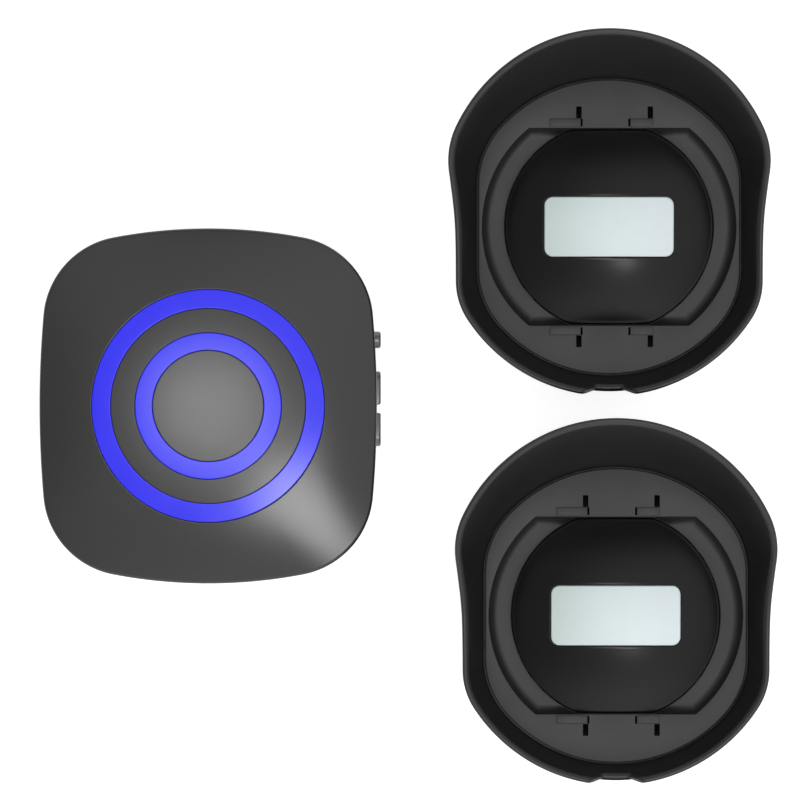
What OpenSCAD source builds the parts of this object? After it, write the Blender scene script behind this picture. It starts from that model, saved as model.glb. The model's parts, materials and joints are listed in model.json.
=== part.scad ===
// Wireless entry chime set: an indoor receiver with two lit rings and three side buttons,
// and two hooded motion sensors on wall brackets, laid flat with their faces up.
// X runs to the right, Y towards the top of each unit and Z out of the faces.

/* [Receiver case] */
// Width of the receiver
receiver_w = 70.5; // [69:0.5:80]
// Height of the receiver
receiver_h = 74.2; // [73:0.2:84]
// Depth from the back of the case to the middle of its face
receiver_d = 26.8; // [26.8:0.2:34]
// Radius of the case's four corners
corner_r = 18; // [14:0.5:20]
// Radius of the slow curve along each long side
side_arc_r = 219; // [150:1:400]
// Radius of the slow curve along the top and bottom
end_arc_r = 106; // [90:1:200]
// Thickness of the case walls
case_wall = 2.2; // [1.8:0.1:2.6]
// Thickness of the case back and of the battery door
floor_t = 2; // [1.8:0.1:2.4]
// Rounding where the side runs into the face
face_edge_r = 1.2; // [0.8:0.1:3]
// Rounding where the side runs into the back
back_edge_r = 2.6; // [1.5:0.1:3]
// Height of the parting line above the back
split_h = 9.8; // [8:0.2:11]
// Fall of the face from the outer ring to the level edge of the case
face_drop = 2.3; // [1.6:0.1:3]

/* [Lit rings] */
// Outside radius of the outer lit ring
outer_ring_r = 24.25; // [23:0.05:26]
// Width of the outer lit ring
outer_ring_w = 3.8; // [3:0.1:4.5]
// Outside radius of the inner lit ring
inner_ring_r = 15.25; // [14:0.05:16]
// Width of the inner lit ring
inner_ring_w = 3.55; // [3:0.05:4]
// Rise of the face inside the outer ring
face_rise = 1.2; // [0.8:0.1:1.6]

/* [Side buttons] */
// Length of the volume button and of the melody button
long_button_len = 7; // [6:0.1:7.4]
// Width of the buttons across the side
button_w = 4; // [3:0.1:4.4]
// Gap between the volume button and the melody button
button_gap = 1.7; // [1.4:0.1:2.4]
// Height of that gap above the middle of the receiver
button_gap_y = -0.6; // [-1.2:0.1:0.4]
// Diameter of the round pairing button
pair_button_d = 3.55; // [3:0.05:4]
// Height of the pairing button above the middle of the receiver
pair_button_y = 13.8; // [13:0.1:16]
// Stand-out of the buttons from the side
button_proud = 0.8; // [0.6:0.05:1.2]
// Travel of each button
button_travel = 0.5; // [0.3:0.05:0.6]

/* [Sensor housing] */
// Radius of the sensor's face plate
plate_r = 30.8; // [30.4:0.1:34]
// Distance from the middle of the face plate to its flat sides
plate_flat = 27.4; // [27.2:0.1:29]
// Thickness of the face plate
plate_t = 3.2; // [2.6:0.1:4]
// Depth of the housing behind the face
housing_d = 28; // [28:0.5:34]
// Horizontal thickness of the hood wall
hood_wall = 1.6; // [1.4:0.1:2.2]
// Height of the hood's rim at the bottom and the sides
rim_h = 8.5; // [7.5:0.1:10]
// Height of the hood at the top, where it is a visor
visor_h = 25; // [18:0.5:28]
// Outward slope of the hood, in degrees
hood_draft = 19.5; // [12:0.5:22]
// Height above the middle where the rim starts to climb into the visor
climb_y = 1.6; // [-4:0.2:6]
// Width of the drain notch in the rim
notch_w = 6.7; // [5:0.1:8]
// Depth of the drain notch
notch_d = 3.5; // [2:0.1:4.5]

/* [Sensor head] */
// Radius of the round opening in the face plate
barrel_r = 26.5; // [26:0.1:27]
// Half height of that opening between its flats
barrel_flat = 20.6; // [20:0.1:21.2]
// How far the opening narrows towards its foot
barrel_taper = 1.9; // [1.2:0.1:2.4]
// Radius of the black dome
dome_r = 21.7; // [21:0.1:22.4]
// Rise of the dome above its seat
dome_rise = 6.5; // [5:0.1:8]
// Thickness of the dome
dome_t = 1.4; // [1.2:0.1:1.8]
// Width of the white lens
lens_w = 27; // [22:0.5:30]
// Height of the white lens
lens_h = 12.5; // [10:0.5:16]
// Corner radius of the white lens
lens_corner_r = 1.8; // [1:0.1:3]

/* [Wall bracket] */
// Width of the wall bracket
bracket_w = 34; // [30:1:40]
// Height of the wall bracket
bracket_h = 44; // [42:1:48]
// Thickness of the bracket
bracket_t = 5.2; // [5:0.1:6]
// Thickness left under its groove
bracket_floor = 2.5; // [2.2:0.1:2.8]
// Length of the rail that slides into the bracket
rail_len = 34; // [30:1:38]
// Width of the rail at its root
rail_w = 14.5; // [12:0.5:17]
// Distance between the two wall screws
wall_screw_pitch = 24; // [20:1:26]
// Diameter of the wall screw holes
wall_screw_d = 4.2; // [3.6:0.1:4.6]

/* [Bought pieces] */
// Diameter of a battery
cell_d = 10.5; // [10:0.1:10.5]
// Length of a battery with its pip
cell_len = 44.5; // [43.5:0.1:44.5]
// Diameter of the motion detector's can
detector_d = 8.2; // [7:0.1:9.2]
// Thickness of the circuit boards
board_t = 1.6; // [1:0.1:1.6]
// Diameter of the self-tapping screws
screw_d = 2; // [1.6:0.1:2.4]

/* [Layout] */
// Free space between the receiver and the upper sensor
side_space = 14.6; // [10:0.1:40]
// Free space between the two sensors
sensor_space = 4.8; // [4:0.1:40]
// How far the lower sensor stands to the right of the upper one
sensor_shift = 1.4; // [0:0.1:10]
// Height of the receiver's middle above the middle of the set
receiver_raise = 0.1; // [-10:0.1:10]

/* [Hidden] */
$fn = 64;
// Clearances: moulded pieces beside each other, sliding fits, and a cut's overshoot
fit_gap = 0.2;
slide_gap = 0.25;
trim_gap = 0.12;
cut = 1;
quarter_turn = 90;
cells = 3;
pip_r = 1.9;
pip_h = 1.2;
contact_boss_r = [1.5, 2.6];
contact_half = 3.5;

// Receiver levels, from the feet up
foot_h = 1.2;
foot_sunk = 0.8;
foot_r = 2.8;
back_z = foot_h;
floor_z = back_z + floor_t;
split_z = back_z + split_h;
split_gap = 0.3;
lip_h = 2;
lip_t = case_wall / 2 - trim_gap;
face_z = back_z + receiver_d;
ring_edge_z = face_z - face_rise;
face_wall = 2.6;
ceiling_z = ring_edge_z - face_wall;
guide_t = 1.5;
guide_z = ceiling_z - guide_t;
guide_edge = 1.75;
guide_r = outer_ring_r + guide_edge;
led_h = 0.9;
led_room = 1.2;
board_top_z = guide_z - led_room - led_h;
board_z = board_top_z - board_t;
face_ball_r = (pow(outer_ring_r, 2) + pow(face_rise, 2)) / (2 * face_rise);

// Battery bay of the receiver
cell_gap = 0.4;
cell_pitch = cell_d + cell_gap;
contact_room = 3;
contact_t = 0.5;
bay_wall = 1.5;
bay_roof_t = 1.1;
bay_edge = 8.3;
bay_x = cell_len / 2 + contact_room;
bay_half_y = cells * cell_pitch / 2;
bay_y = bay_half_y - receiver_h / 2 + bay_edge;
cell_z = floor_z + cell_gap + cell_d / 2;
bay_roof_z = cell_z + cell_d / 2 + cell_gap;
bay_top_z = bay_roof_z + bay_roof_t;

// Battery door: a narrow outside and wider runners that the back holds in
door_in = 1;
door_head = 0.6;
door_half_w = bay_x - door_in;
runner_w = 0.95;
runner_gap = 0.1;
door_lip_z = back_z + floor_t / 2;
door_top_y = bay_y + bay_half_y + door_head;
ridge_count = 4;
ridge_len = 14;
ridge_w = 0.8;
ridge_deep = 0.4;
ridge_pitch = 2.2;

// Case screws stand in pads under the upper feet and run up into the front shell's bosses
pad_h = 2;
pad_r = 3.6;
boss_r = 2.4;
boss_gap = 0.8;
pad_z = floor_z + pad_h;
screw_head_r = 1.05 * screw_d;
screw_head_h = 1.3;
screw_cross = [1.4, 0.5];
case_screw_len = 9;
screw_fit = 0.08;
screw_end_gap = 1;
top_foot_in = [12.2, 10];
top_foot_x = receiver_w / 2 - top_foot_in[0];
top_foot_y = receiver_h / 2 - top_foot_in[1];
screw_places = [for (s = [-1, 1]) [s * top_foot_x, top_foot_y]];

// The two lower feet are on the battery door
door_foot_in = 5.5;
door_foot_up = 4;
door_foot_x = door_half_w - door_foot_in;
door_foot_y = bay_y - bay_half_y + door_foot_up;
door_foot_places = [for (s = [-1, 1]) [s * door_foot_x, door_foot_y]];

// Receiver board, its switches and the buttons
flange_t = 1.1;
flange_w = 0.8;
flange_back = 0.75;
flange_x = receiver_w / 2 - case_wall - flange_back;
stem_r = 0.6;
stem_fit = 0.15;
stem_in = 0.9;
stem_len = 2.4;
switch_x = flange_x - flange_t - stem_len;
switch_out = 1.2;
board_half_x = switch_x - switch_out;
board_half_y = top_foot_y - boss_r - boss_gap;
board_corner_r = 3;
board_post_r = 1.8;
board_post_in = [5, 2];
board_post_drop = 5;
receiver_chip_table = [[0, 4, 10, 6, 1.4], [-2, -6, 5, 5, 1], [5, -6, 4, 1.8, 1.2]];
switch_w = 4;
switch_h = 2.8;
switch_l = 3.7;
button_z = board_z - switch_h / 2;
button_face_x = receiver_w / 2 + button_proud;
bore_end = 0.6;
pair_half = pair_button_d / 2;
long_button_y = [
    button_gap_y + button_gap / 2 + long_button_len / 2,
    button_gap_y - button_gap / 2 - long_button_len / 2
];
switch_y = [pair_button_y, long_button_y[0], long_button_y[1]];

// Loudspeaker, facing the back: as large as fits between the battery bay and the upper wall
speaker_gap = 1.55;
speaker_top_y = receiver_h / 2 - case_wall - speaker_gap;
speaker_low_y = bay_y + bay_half_y + bay_wall + speaker_gap;
speaker_r = (speaker_top_y - speaker_low_y) / 2;
speaker_y = (speaker_top_y + speaker_low_y) / 2;
magnet_r = speaker_r / 2;
magnet_h = 3.4;
basket_h = 5.4;
speaker_rim = [1.6, 1.4];
neck_w = 2.5;
basket_t = 0.6;
cone_t = 0.4;
cone_cap = [3.5, 3];
slot_count = 7;
grille_edge = 3.4;
grille_r = speaker_r - grille_edge;
slot_pitch = 2 * grille_r / slot_count;
slot_w = slot_pitch / 2.1;

// Lights under the rings
outer_leds = 8;
inner_leds = 6;
led_w = 2.6;

// Wire antennas: height over the board, thickness, and how far in from the board's corner they stand
antenna_rise = [2.6, 2];
antenna_r = [0.45, 0.4];
antenna_in = [6, 3];

// Sensor levels, from the wall up
rear_gap = 0.3;
rear_z = bracket_t + rear_gap;
cover_t = 3.4;
cover_z = rear_z + cover_t;
gasket_t = 1.2;
ledge_z = cover_z + gasket_t;
ledge_w = 1.2;
plate_z = rear_z + housing_d;
seat_z = plate_z - plate_t;
bezel_t = 2.2;
flange_z = seat_z - bezel_t;
dome_flange_t = 1.4;
dome_z = flange_z - dome_flange_t;
dome_flange_w = 1.6;
lens_t = 0.8;
lens_seat_gap = 0.05;
lens_flange_w = 1.4;
dome_ball_r = (pow(dome_r, 2) + pow(dome_rise, 2)) / (2 * dome_rise);
dome_ball_z = seat_z + dome_rise - dome_ball_r;
rim_z = plate_z + rim_h;
plate_corner_r = 3;
hood_blend = 5;
hood_rear_wall = 1.3;
lip_round = 0.8;
notch_shoulder = 1.55;

// Battery tray, bosses and board of a sensor
tray_cell_lift = 0.5;
tray_cell_z = cover_z + tray_cell_lift + cell_d / 2;
tray_floor_z = tray_cell_z + cell_d / 2 + fit_gap;
tray_t = 1.2;
tray_top_z = tray_floor_z + tray_t;
tray_wall = 1.2;
tray_gap = 0.3;
tray_r = plate_r - ledge_w - tray_gap;
tray_pocket_r = tray_r - 0.75 * tray_wall;
tray_contact_room = 2.2;
tray_half_x = cell_len / 2 + tray_contact_room;
tray_half_y = cells * cell_pitch / 2;
housing_boss_r = 2.8;
ear_drop = 1.4;
housing_boss_z = tray_floor_z - ear_drop;
housing_boss_angle = 50;
boss_in_ledge = 0.4;
housing_boss_at = plate_r - ledge_w - housing_boss_r + boss_in_ledge;
ear_r = 2;
post_r = 1.4;
post_at = dome_r + dome_flange_w / 5;
post_angle = 40;
sensor_board_rib = 0.7;
sensor_board_z = tray_top_z + sensor_board_rib;
sensor_board_top_z = sensor_board_z + board_t;
sensor_board = [42, 23];
sensor_board_corner_r = 2;
board_rib_w = 2;
sensor_chip_table = [[12, -4, 9, 6, 1.4], [-12, -5, 6, 5, 1.2], [-12, 3, 4, 2, 1]];
cover_screw_len = 8;
cover_screw_end_gap = 2;
detector_h = 4.2;
detector_foot = [0.5, 0.6];
detector_window = [4.1, 3.3, 0.3];

// Clips on the face plate: a raised tongue beside the opening and a slot behind it
clip_tongues = [[-12.4, -5.9], [4.4, 9.2]];
clip_slots = [-6.3, 8.6];
tongue_h = 0.25;
tongue_w = 1.7;
tongue_slit = 0.35;
clip_slot_w = 1.06;
clip_slot_h = 2.4;
tongue_in = 0.25;
tongue_y = barrel_flat + tongue_in;
clip_slot_y = tongue_y + tongue_w + trim_gap;

// Rail and groove: the same sloped flank, a sliding gap apart
rail_h = bracket_t - bracket_floor;
rail_flare = 0.55;
bracket_corner_r = 6;
countersink_w = 1.4;
countersink_h = 1.2;

shell_grey = "#464646";
button_grey = "#5a5a5a";
ring_blue = "#4842f5";
housing_black = "#2b2b2d";
plate_charcoal = "#464649";
gloss_black = "#101012";
lens_white = "#dfe8e6";
board_green = "#1f5a3a";
steel = "#b9bcc0";
rubber_black = "#1c1c1c";
cell_grey = "#3c6e8f";

SENSOR_PIECES = [
    "hood", "face_plate", "bezel", "dome", "lens", "detector", "circuit_board", "chips", "antenna",
    "battery_tray", "batteries", "battery_contacts", "gasket", "back_cover", "cover_screws", "wall_bracket"
];
RECEIVER_PIECES = [
    "receiver_front_shell", "receiver_back_shell", "light_guide", "ring_band", "centre_disc",
    "pair_button", "volume_button", "melody_button", "side_switches", "receiver_circuit_board",
    "receiver_chips", "ring_leds", "speaker_basket", "speaker_cone", "speaker_magnet",
    "receiver_antenna", "receiver_batteries", "receiver_battery_contacts", "battery_door",
    "receiver_feet", "door_feet", "case_screws"
];
NODES = concat(RECEIVER_PIECES, [for (k = [1, 2]) for (p = SENSOR_PIECES) sensor_node(k, p)]);
node = "all";

function sensor_node(k, piece) = str("sensor_", k, "_", piece);
function wanted(name) = node == "all" || node == name;
function heading(a) = [cos(a), sin(a)];

// A station is a point of an outline with the heading of its outward normal
function arc_stations(centre, r, a0, a1, steps) =
    [for (i = [0:steps - 1]) let (a = a0 + (a1 - a0) * i / steps) [centre + r * heading(a), a]];
function line_stations(p0, p1, a, steps) = [for (i = [0:steps - 1]) [p0 + (p1 - p0) * i / steps, a]];
function moved_out(s, d) = s[0] + d * heading(s[1]);

// Where two circles meet, on the left of the line from the first to the second
function circles_meet(c1, r1, c2, r2) =
    let (
        d = norm(c2 - c1),
        u = (c2 - c1) / d,
        along = (r1 * r1 - r2 * r2 + d * d) / (2 * d),
        aside = sqrt(r1 * r1 - along * along)
    ) c1 + along * u + aside * [-u[1], u[0]];

// The receiver's outline: slow arcs on the four sides, joined by tangent corner arcs
side_centre = [receiver_w / 2 - side_arc_r, 0];
end_centre = [0, receiver_h / 2 - end_arc_r];
corner_centre = circles_meet(side_centre, side_arc_r - corner_r, end_centre, end_arc_r - corner_r);
side_turn = atan2(corner_centre[1], corner_centre[0] - side_centre[0]);
end_turn = atan2(corner_centre[1] - end_centre[1], corner_centre[0]);
side_steps = 6;
corner_steps = 9;
function mirrored(v, sx, sy) = [v[0] * sx, v[1] * sy];
receiver_outline = concat(
    arc_stations(side_centre, side_arc_r, -side_turn, side_turn, side_steps),
    arc_stations(corner_centre, corner_r, side_turn, end_turn, corner_steps),
    arc_stations(end_centre, end_arc_r, end_turn, 180 - end_turn, side_steps),
    arc_stations(mirrored(corner_centre, -1, 1), corner_r, 180 - end_turn, 180 - side_turn, corner_steps),
    arc_stations(-side_centre, side_arc_r, 180 - side_turn, 180 + side_turn, side_steps),
    arc_stations(-corner_centre, corner_r, 180 + side_turn, 180 + end_turn, corner_steps),
    arc_stations(-end_centre, end_arc_r, 180 + end_turn, 360 - end_turn, side_steps),
    arc_stations(mirrored(corner_centre, 1, -1), corner_r, 360 - end_turn, 360 - side_turn, corner_steps)
);

// The face falls from a circle under the outer ring to the level edge of the case
face_foot_r = outer_ring_r - 1;
corner_reach = norm(corner_centre) + corner_r - face_edge_r;
side_reach = receiver_w / 2 - face_edge_r;
function face_height(r, reach) = ring_edge_z - face_drop * (r - face_foot_r) / (reach - face_foot_r);

// A sensor's outline: a circle with two flat sides and small tangent corners
plate_corner_y = sqrt(pow(plate_r - plate_corner_r, 2) - pow(plate_flat - plate_corner_r, 2));
plate_corner = [plate_flat - plate_corner_r, plate_corner_y];
plate_turn = atan2(plate_corner_y, plate_corner[0]);
flat_steps = 7;
plate_corner_steps = 4;
round_steps = 26;
function half_plate(turn, sign) = concat(
    line_stations(sign * [plate_flat, -plate_corner_y], sign * [plate_flat, plate_corner_y], turn,
        flat_steps),
    arc_stations(sign * plate_corner, plate_corner_r, turn, turn + plate_turn, plate_corner_steps),
    arc_stations([0, 0], plate_r, turn + plate_turn, turn + 180 - plate_turn, round_steps),
    arc_stations(sign * mirrored(plate_corner, -1, 1), plate_corner_r, turn + 180 - plate_turn, turn + 180,
        plate_corner_steps)
);
plate_outline = concat(half_plate(0, 1), half_plate(180, -1));

// Height of the rim over the face plate at a station: level below, then a climb into the visor
hood_lean = tan(hood_draft);
hood_out = fit_gap + hood_wall;
visor_reach = plate_r + hood_out + hood_lean * visor_h;
climb = (visor_h - rim_h) / (visor_reach - climb_y);
climb_soft = 1;
function rim_rise(s) =
    let (
        up = sin(s[1]),
        sloped = rim_h + climb * (s[0][1] + up * hood_out - climb_y),
        over = (sloped - rim_h + rim_h * climb * up * hood_lean) / (1 - climb * up * hood_lean)
    ) rim_h + (over + sqrt(over * over + 4 * climb_soft * climb_soft)) / 2;

// The set laid out round the middle of its footprint
lip_points = [for (s = plate_outline) moved_out(s, hood_out + hood_lean * (rim_rise(s) - lip_round))];
hood_reach_x = max([for (p = lip_points) p[0]]);
hood_reach_up = max([for (p = lip_points) p[1]]);
notch_half = notch_w / 2 + notch_shoulder * notch_d / (notch_d + cut);
hood_reach_down = sqrt(pow(min([for (p = lip_points) p[1]]), 2) - pow(notch_half, 2));
set_half_w = (receiver_w + side_space + 2 * hood_reach_x + sensor_shift) / 2;
set_half_h = hood_reach_up + hood_reach_down + sensor_space / 2;
receiver_at = [receiver_w / 2 - set_half_w, receiver_raise];
sensor_at = [
    [set_half_w - hood_reach_x - sensor_shift, set_half_h - hood_reach_up],
    [set_half_w - hood_reach_x, hood_reach_down - set_half_h]
];

// A solid through rings of points, closed by flat caps
module loft(rings) {
    n = len(rings[0]);
    last = (len(rings) - 1) * n;
    polyhedron(
        points = [for (ring = rings) each ring],
        faces = concat(
            [[for (i = [0:n - 1]) i], [for (i = [n - 1:-1:0]) last + i]],
            [for (j = [0:len(rings) - 2]) for (i = [0:n - 1]) each
                let (a = j * n + i, b = j * n + (i + 1) % n) [[a, a + n, b + n], [a, b + n, b]]]
        )
    );
}

// A ring-shaped solid swept through closed sections
module ring_loft(sections) {
    m = len(sections[0]);
    n = len(sections);
    polyhedron(
        points = [for (section = sections) each section],
        faces = [for (i = [0:n - 1]) for (k = [0:m - 1]) each
            let (a = i * m, b = (i + 1) % n * m, l = (k + 1) % m)
            [[a + k, a + l, b + l], [a + k, b + l, b + k]]]
    );
}

module rounded_rect(w, h, r) {
    square([w - 2 * r, h], center = true);
    square([w, h - 2 * r], center = true);
    for (x = [-1, 1], y = [-1, 1]) translate([x * (w / 2 - r), y * (h / 2 - r)]) circle(r);
}

// Stands a drawing in Y and Z on its edge and pulls it along X
module along_x(x0, x1) {
    translate([x0, 0, 0]) rotate([90, 0, 90]) linear_extrude(x1 - x0) children();
}

module slab(w, h, z0, z1) {
    translate([-w / 2, -h / 2, z0]) cube([w, h, z1 - z0]);
}

module at_places(places) {
    for (p = places) translate([p[0], p[1], 0]) children();
}

// Receiver

module receiver_prism(inset, z0, z1) {
    translate([0, 0, z0]) linear_extrude(z1 - z0)
        polygon([for (s = receiver_outline) moved_out(s, -inset)]);
}

// The outside of the back shell, rounded into the back
module back_form() {
    steps = 5;
    side_draft = 0.4;
    function ring(inset, z) = [for (s = receiver_outline) [each moved_out(s, -inset), z]];
    loft(concat(
        [for (i = [0:steps]) let (a = quarter_turn * i / steps)
            ring(side_draft + back_edge_r * (1 - sin(a)), back_z + back_edge_r * (1 - cos(a)))],
        [ring(0, split_z)]
    ));
}

// The outside of the front shell, with its sloped face and rounded edge
module front_form() {
    steps = 5;
    edge_z = ring_edge_z - face_drop;
    edge_drop = 1.1 * face_edge_r;
    function edge_ring(a) = [for (s = receiver_outline)
        [each moved_out(s, -face_edge_r * (1 - cos(a))), edge_z - edge_drop * (1 - sin(a))]];
    loft(concat(
        [[for (s = receiver_outline) [each s[0], split_z + split_gap]]],
        [for (i = [0:steps]) edge_ring(quarter_turn * i / steps)],
        [[for (s = receiver_outline) let (p = moved_out(s, -face_edge_r))
            [each face_foot_r * p / norm(p), ring_edge_z]]]
    ));
}

// The room inside the front shell: its ceiling is level over the rings, then follows the face
module front_room() {
    level_r = guide_r + fit_gap;
    slope_r = level_r + fit_gap;
    slope_z = face_height(slope_r, side_reach) - face_wall;
    function ring(z) = [for (s = receiver_outline) [each moved_out(s, -case_wall), z]];
    loft([
        ring(split_z - cut),
        ring(ring_edge_z - face_drop - face_wall),
        [for (s = receiver_outline) [each slope_r * s[0] / norm(s[0]), slope_z]]
    ]);
    translate([0, 0, split_z]) cylinder(r = level_r, h = ceiling_z - split_z);
}

// Outline of a long button in Y and Z: square at the gap, round at the far end
module long_button_outline(i, grow) {
    side = i == 0 ? 1 : -1;
    r = button_w / 2;
    straight = long_button_len - r;
    translate([long_button_y[i] - side * r / 2, button_z])
        square([straight + 2 * grow, button_w + 2 * grow], center = true);
    translate([long_button_y[i] + side * (long_button_len / 2 - r), button_z]) circle(r + grow);
}

module pair_button_outline(grow) {
    translate([pair_button_y, button_z]) circle(pair_half + grow);
}

module receiver_front_shell() {
    color(shell_grey) difference() {
        union() {
            difference() {
                front_form();
                front_room();
                receiver_prism(case_wall - lip_t - trim_gap, split_z, split_z + lip_h + trim_gap);
            }
            for (p = screw_places) front_boss(p);
        }
        at_places(screw_places) translate([0, 0, pad_z - cut])
            cylinder(d = screw_d + 2 * screw_fit, h = case_screw_len + cut);
        translate([0, 0, split_z]) cylinder(r = outer_ring_r + trim_gap, h = receiver_d);
        along_x(receiver_w / 4, receiver_w) {
            pair_button_outline(fit_gap);
            for (i = [0, 1]) long_button_outline(i, fit_gap);
        }
    }
}

// A boss from the case screw's pad up into the sloped ceiling
module front_boss(p) {
    into_face = 0.3;
    top_z = face_height(norm(p) - boss_r, corner_reach) - face_wall + into_face;
    translate([p[0], p[1], pad_z]) cylinder(r = boss_r, h = top_z - pad_z);
}

module receiver_back_shell() {
    lip_rise = lip_h - split_gap;
    color(shell_grey) difference() {
        union() {
            difference() {
                back_form();
                receiver_prism(case_wall, floor_z, split_z + cut);
            }
            difference() {
                receiver_prism(case_wall - lip_t, split_z - lip_h, split_z + lip_rise);
                receiver_prism(case_wall, split_z - lip_h - cut, split_z + lip_rise + cut);
            }
            translate([0, bay_y, 0])
                slab(2 * (bay_x + bay_wall), 2 * (bay_half_y + bay_wall), floor_z - cut / 2, bay_top_z);
            at_places(screw_places) translate([0, 0, floor_z - cut / 2])
                cylinder(r = pad_r, h = pad_h + cut / 2);
            board_posts();
        }
        translate([0, bay_y, 0]) slab(2 * bay_x, 2 * bay_half_y, floor_z - cut / 4, bay_roof_z);
        door_way();
        at_places(screw_places) screw_well();
        at_places([[0, speaker_y]]) grille_slots();
    }
}

// Posts under the receiver's board: two on the battery bay and two from the back
module board_posts() {
    low = [for (s = [-1, 1]) [s * (bay_x - board_post_in[0]), bay_y - bay_half_y / 2]];
    tall = [for (s = [-1, 1]) [s * (board_half_x - board_post_in[1]), top_foot_y - board_post_drop]];
    at_places(low) translate([0, 0, bay_roof_z]) cylinder(r = board_post_r, h = board_z - bay_roof_z);
    at_places(tall) translate([0, 0, floor_z - cut / 2])
        cylinder(r = board_post_r, h = board_z - floor_z + cut / 2);
}

module foot_seat() {
    translate([0, 0, back_z - cut]) cylinder(r = foot_r + trim_gap, h = foot_sunk + cut);
}

module screw_well() {
    foot_seat();
    translate([0, 0, back_z]) cylinder(r = screw_head_r + fit_gap, h = foot_sunk + screw_head_h);
    translate([0, 0, back_z]) cylinder(d = screw_d + 2 * fit_gap, h = pad_z);
}

module grille_slots() {
    intersection() {
        translate([0, 0, back_z - cut]) cylinder(r = grille_r, h = floor_t + 2 * cut);
        for (i = [0:slot_count - 1])
            translate([0, (i - (slot_count - 1) / 2) * slot_pitch, 0])
                slab(2 * (grille_r + cut), slot_w, back_z - cut, floor_z + cut);
    }
}

// The way the battery door slides in: a slot with a lip on both sides, open at the bottom edge
module door_way() {
    top = door_top_y + slide_gap;
    far = receiver_h;
    narrow = door_half_w + slide_gap;
    wide = narrow + runner_w;
    translate([-narrow, top - far, back_z - cut]) cube([2 * narrow, far, door_lip_z - back_z + cut]);
    translate([-wide, top - far, door_lip_z]) cube([2 * wide, far, floor_z - door_lip_z]);
}

module battery_door() {
    far = receiver_h;
    wide = door_half_w + runner_w;
    thumb_y = bay_y - bay_half_y;
    color(shell_grey) difference() {
        intersection() {
            back_form();
            union() {
                translate([-door_half_w, door_top_y - far, 0])
                    cube([2 * door_half_w, far, floor_z - runner_gap]);
                translate([-wide, door_top_y - far, door_lip_z + runner_gap])
                    cube([2 * wide, far, floor_z - door_lip_z - 2 * runner_gap]);
            }
        }
        for (i = [0:ridge_count - 1])
            translate([0, thumb_y + i * ridge_pitch, 0]) slab(ridge_len, ridge_w, 0, back_z + ridge_deep);
        at_places(door_foot_places) foot_seat();
    }
}

module light_guide() {
    color(ring_blue) {
        translate([0, 0, guide_z]) cylinder(r = guide_r, h = guide_t);
        face_ring(outer_ring_r, outer_ring_r - outer_ring_w, guide_z);
        face_ring(inner_ring_r, inner_ring_r - inner_ring_w, guide_z);
    }
}

// A ring or disc that ends flush with the shallow ball of the face
module face_ring(r_out, r_in, z0) {
    intersection() {
        translate([0, 0, z0]) difference() {
            cylinder(r = r_out, h = receiver_d);
            if (r_in > 0) translate([0, 0, -cut]) cylinder(r = r_in, h = receiver_d + 2 * cut);
        }
        translate([0, 0, face_z - face_ball_r]) sphere(face_ball_r, $fn = 256);
    }
}

module ring_band() {
    color(shell_grey)
        face_ring(outer_ring_r - outer_ring_w - trim_gap, inner_ring_r + trim_gap, ceiling_z);
}

module centre_disc() {
    color(shell_grey) face_ring(inner_ring_r - inner_ring_w - trim_gap, 0, ceiling_z);
}

// A button: cap through the side, flange behind the wall and a stem into its switch
module button_body(y) {
    along_x(flange_x - cut / 2, button_face_x) children(0);
    along_x(flange_x - flange_t, flange_x) children(1);
    translate([switch_x - stem_in, y, button_z]) rotate([0, 90, 0])
        cylinder(r = stem_r, h = flange_x - flange_t - switch_x + stem_in + cut / 2);
}

module pair_button() {
    color(button_grey) button_body(pair_button_y) {
        pair_button_outline(0);
        pair_button_outline(flange_w);
    }
}

module long_button(i) {
    flange_grow = min(flange_w, button_gap / 2 - fit_gap);
    color(button_grey) button_body(long_button_y[i]) {
        long_button_outline(i, 0);
        long_button_outline(i, flange_grow);
    }
}

module side_switches() {
    bore_deep = stem_in + button_travel + bore_end;
    color(gloss_black) for (y = switch_y) difference() {
        translate([switch_x - switch_l, y - switch_w / 2, board_z - switch_h])
            cube([switch_l, switch_w, switch_h]);
        translate([switch_x - bore_deep, y, button_z]) rotate([0, 90, 0])
            cylinder(r = stem_r + stem_fit, h = bore_deep + cut);
    }
}

module receiver_circuit_board() {
    color(board_green) translate([0, 0, board_z]) linear_extrude(board_t)
        rounded_rect(2 * board_half_x, 2 * board_half_y, board_corner_r);
}

// Chips from a table of place, width, height and thickness
module chip_set(table) {
    color(gloss_black) for (c = table) translate([c[0], c[1], 0]) slab(c[2], c[3], 0, c[4]);
}

module receiver_chips() {
    translate([0, 0, board_top_z]) chip_set(receiver_chip_table);
}

module ring_leds() {
    color(lens_white) translate([0, 0, board_top_z]) {
        led_circle(outer_leds, outer_ring_r - outer_ring_w / 2);
        led_circle(inner_leds, inner_ring_r - inner_ring_w / 2);
    }
}

module led_circle(count, r) {
    for (i = [0:count - 1]) rotate(360 * (i + 0.5) / count)
        translate([r, 0, 0]) slab(led_w, led_w, 0, led_h);
}

module speaker_basket() {
    inner_r = speaker_r - speaker_rim[0];
    neck_r = magnet_r - neck_w;
    under = basket_h - basket_t;
    color(steel) translate([0, speaker_y, floor_z]) rotate_extrude() polygon([
        [inner_r, 0], [speaker_r, 0], [speaker_r, speaker_rim[1]], [magnet_r, basket_h], [neck_r, basket_h],
        [neck_r, under], [magnet_r - basket_t, under], [inner_r, speaker_rim[1] - basket_t]
    ]);
}

module speaker_cone() {
    edge_r = speaker_r - speaker_rim[0] - fit_gap;
    cap_dip = cone_cap[1] - cone_t;
    color(rubber_black) translate([0, speaker_y, floor_z]) rotate_extrude() polygon([
        [edge_r, 0], [edge_r, cone_t], [cone_cap[0], cone_cap[1]], [0, cap_dip],
        [0, cap_dip - cone_t], [cone_cap[0], cap_dip]
    ]);
}

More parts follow.
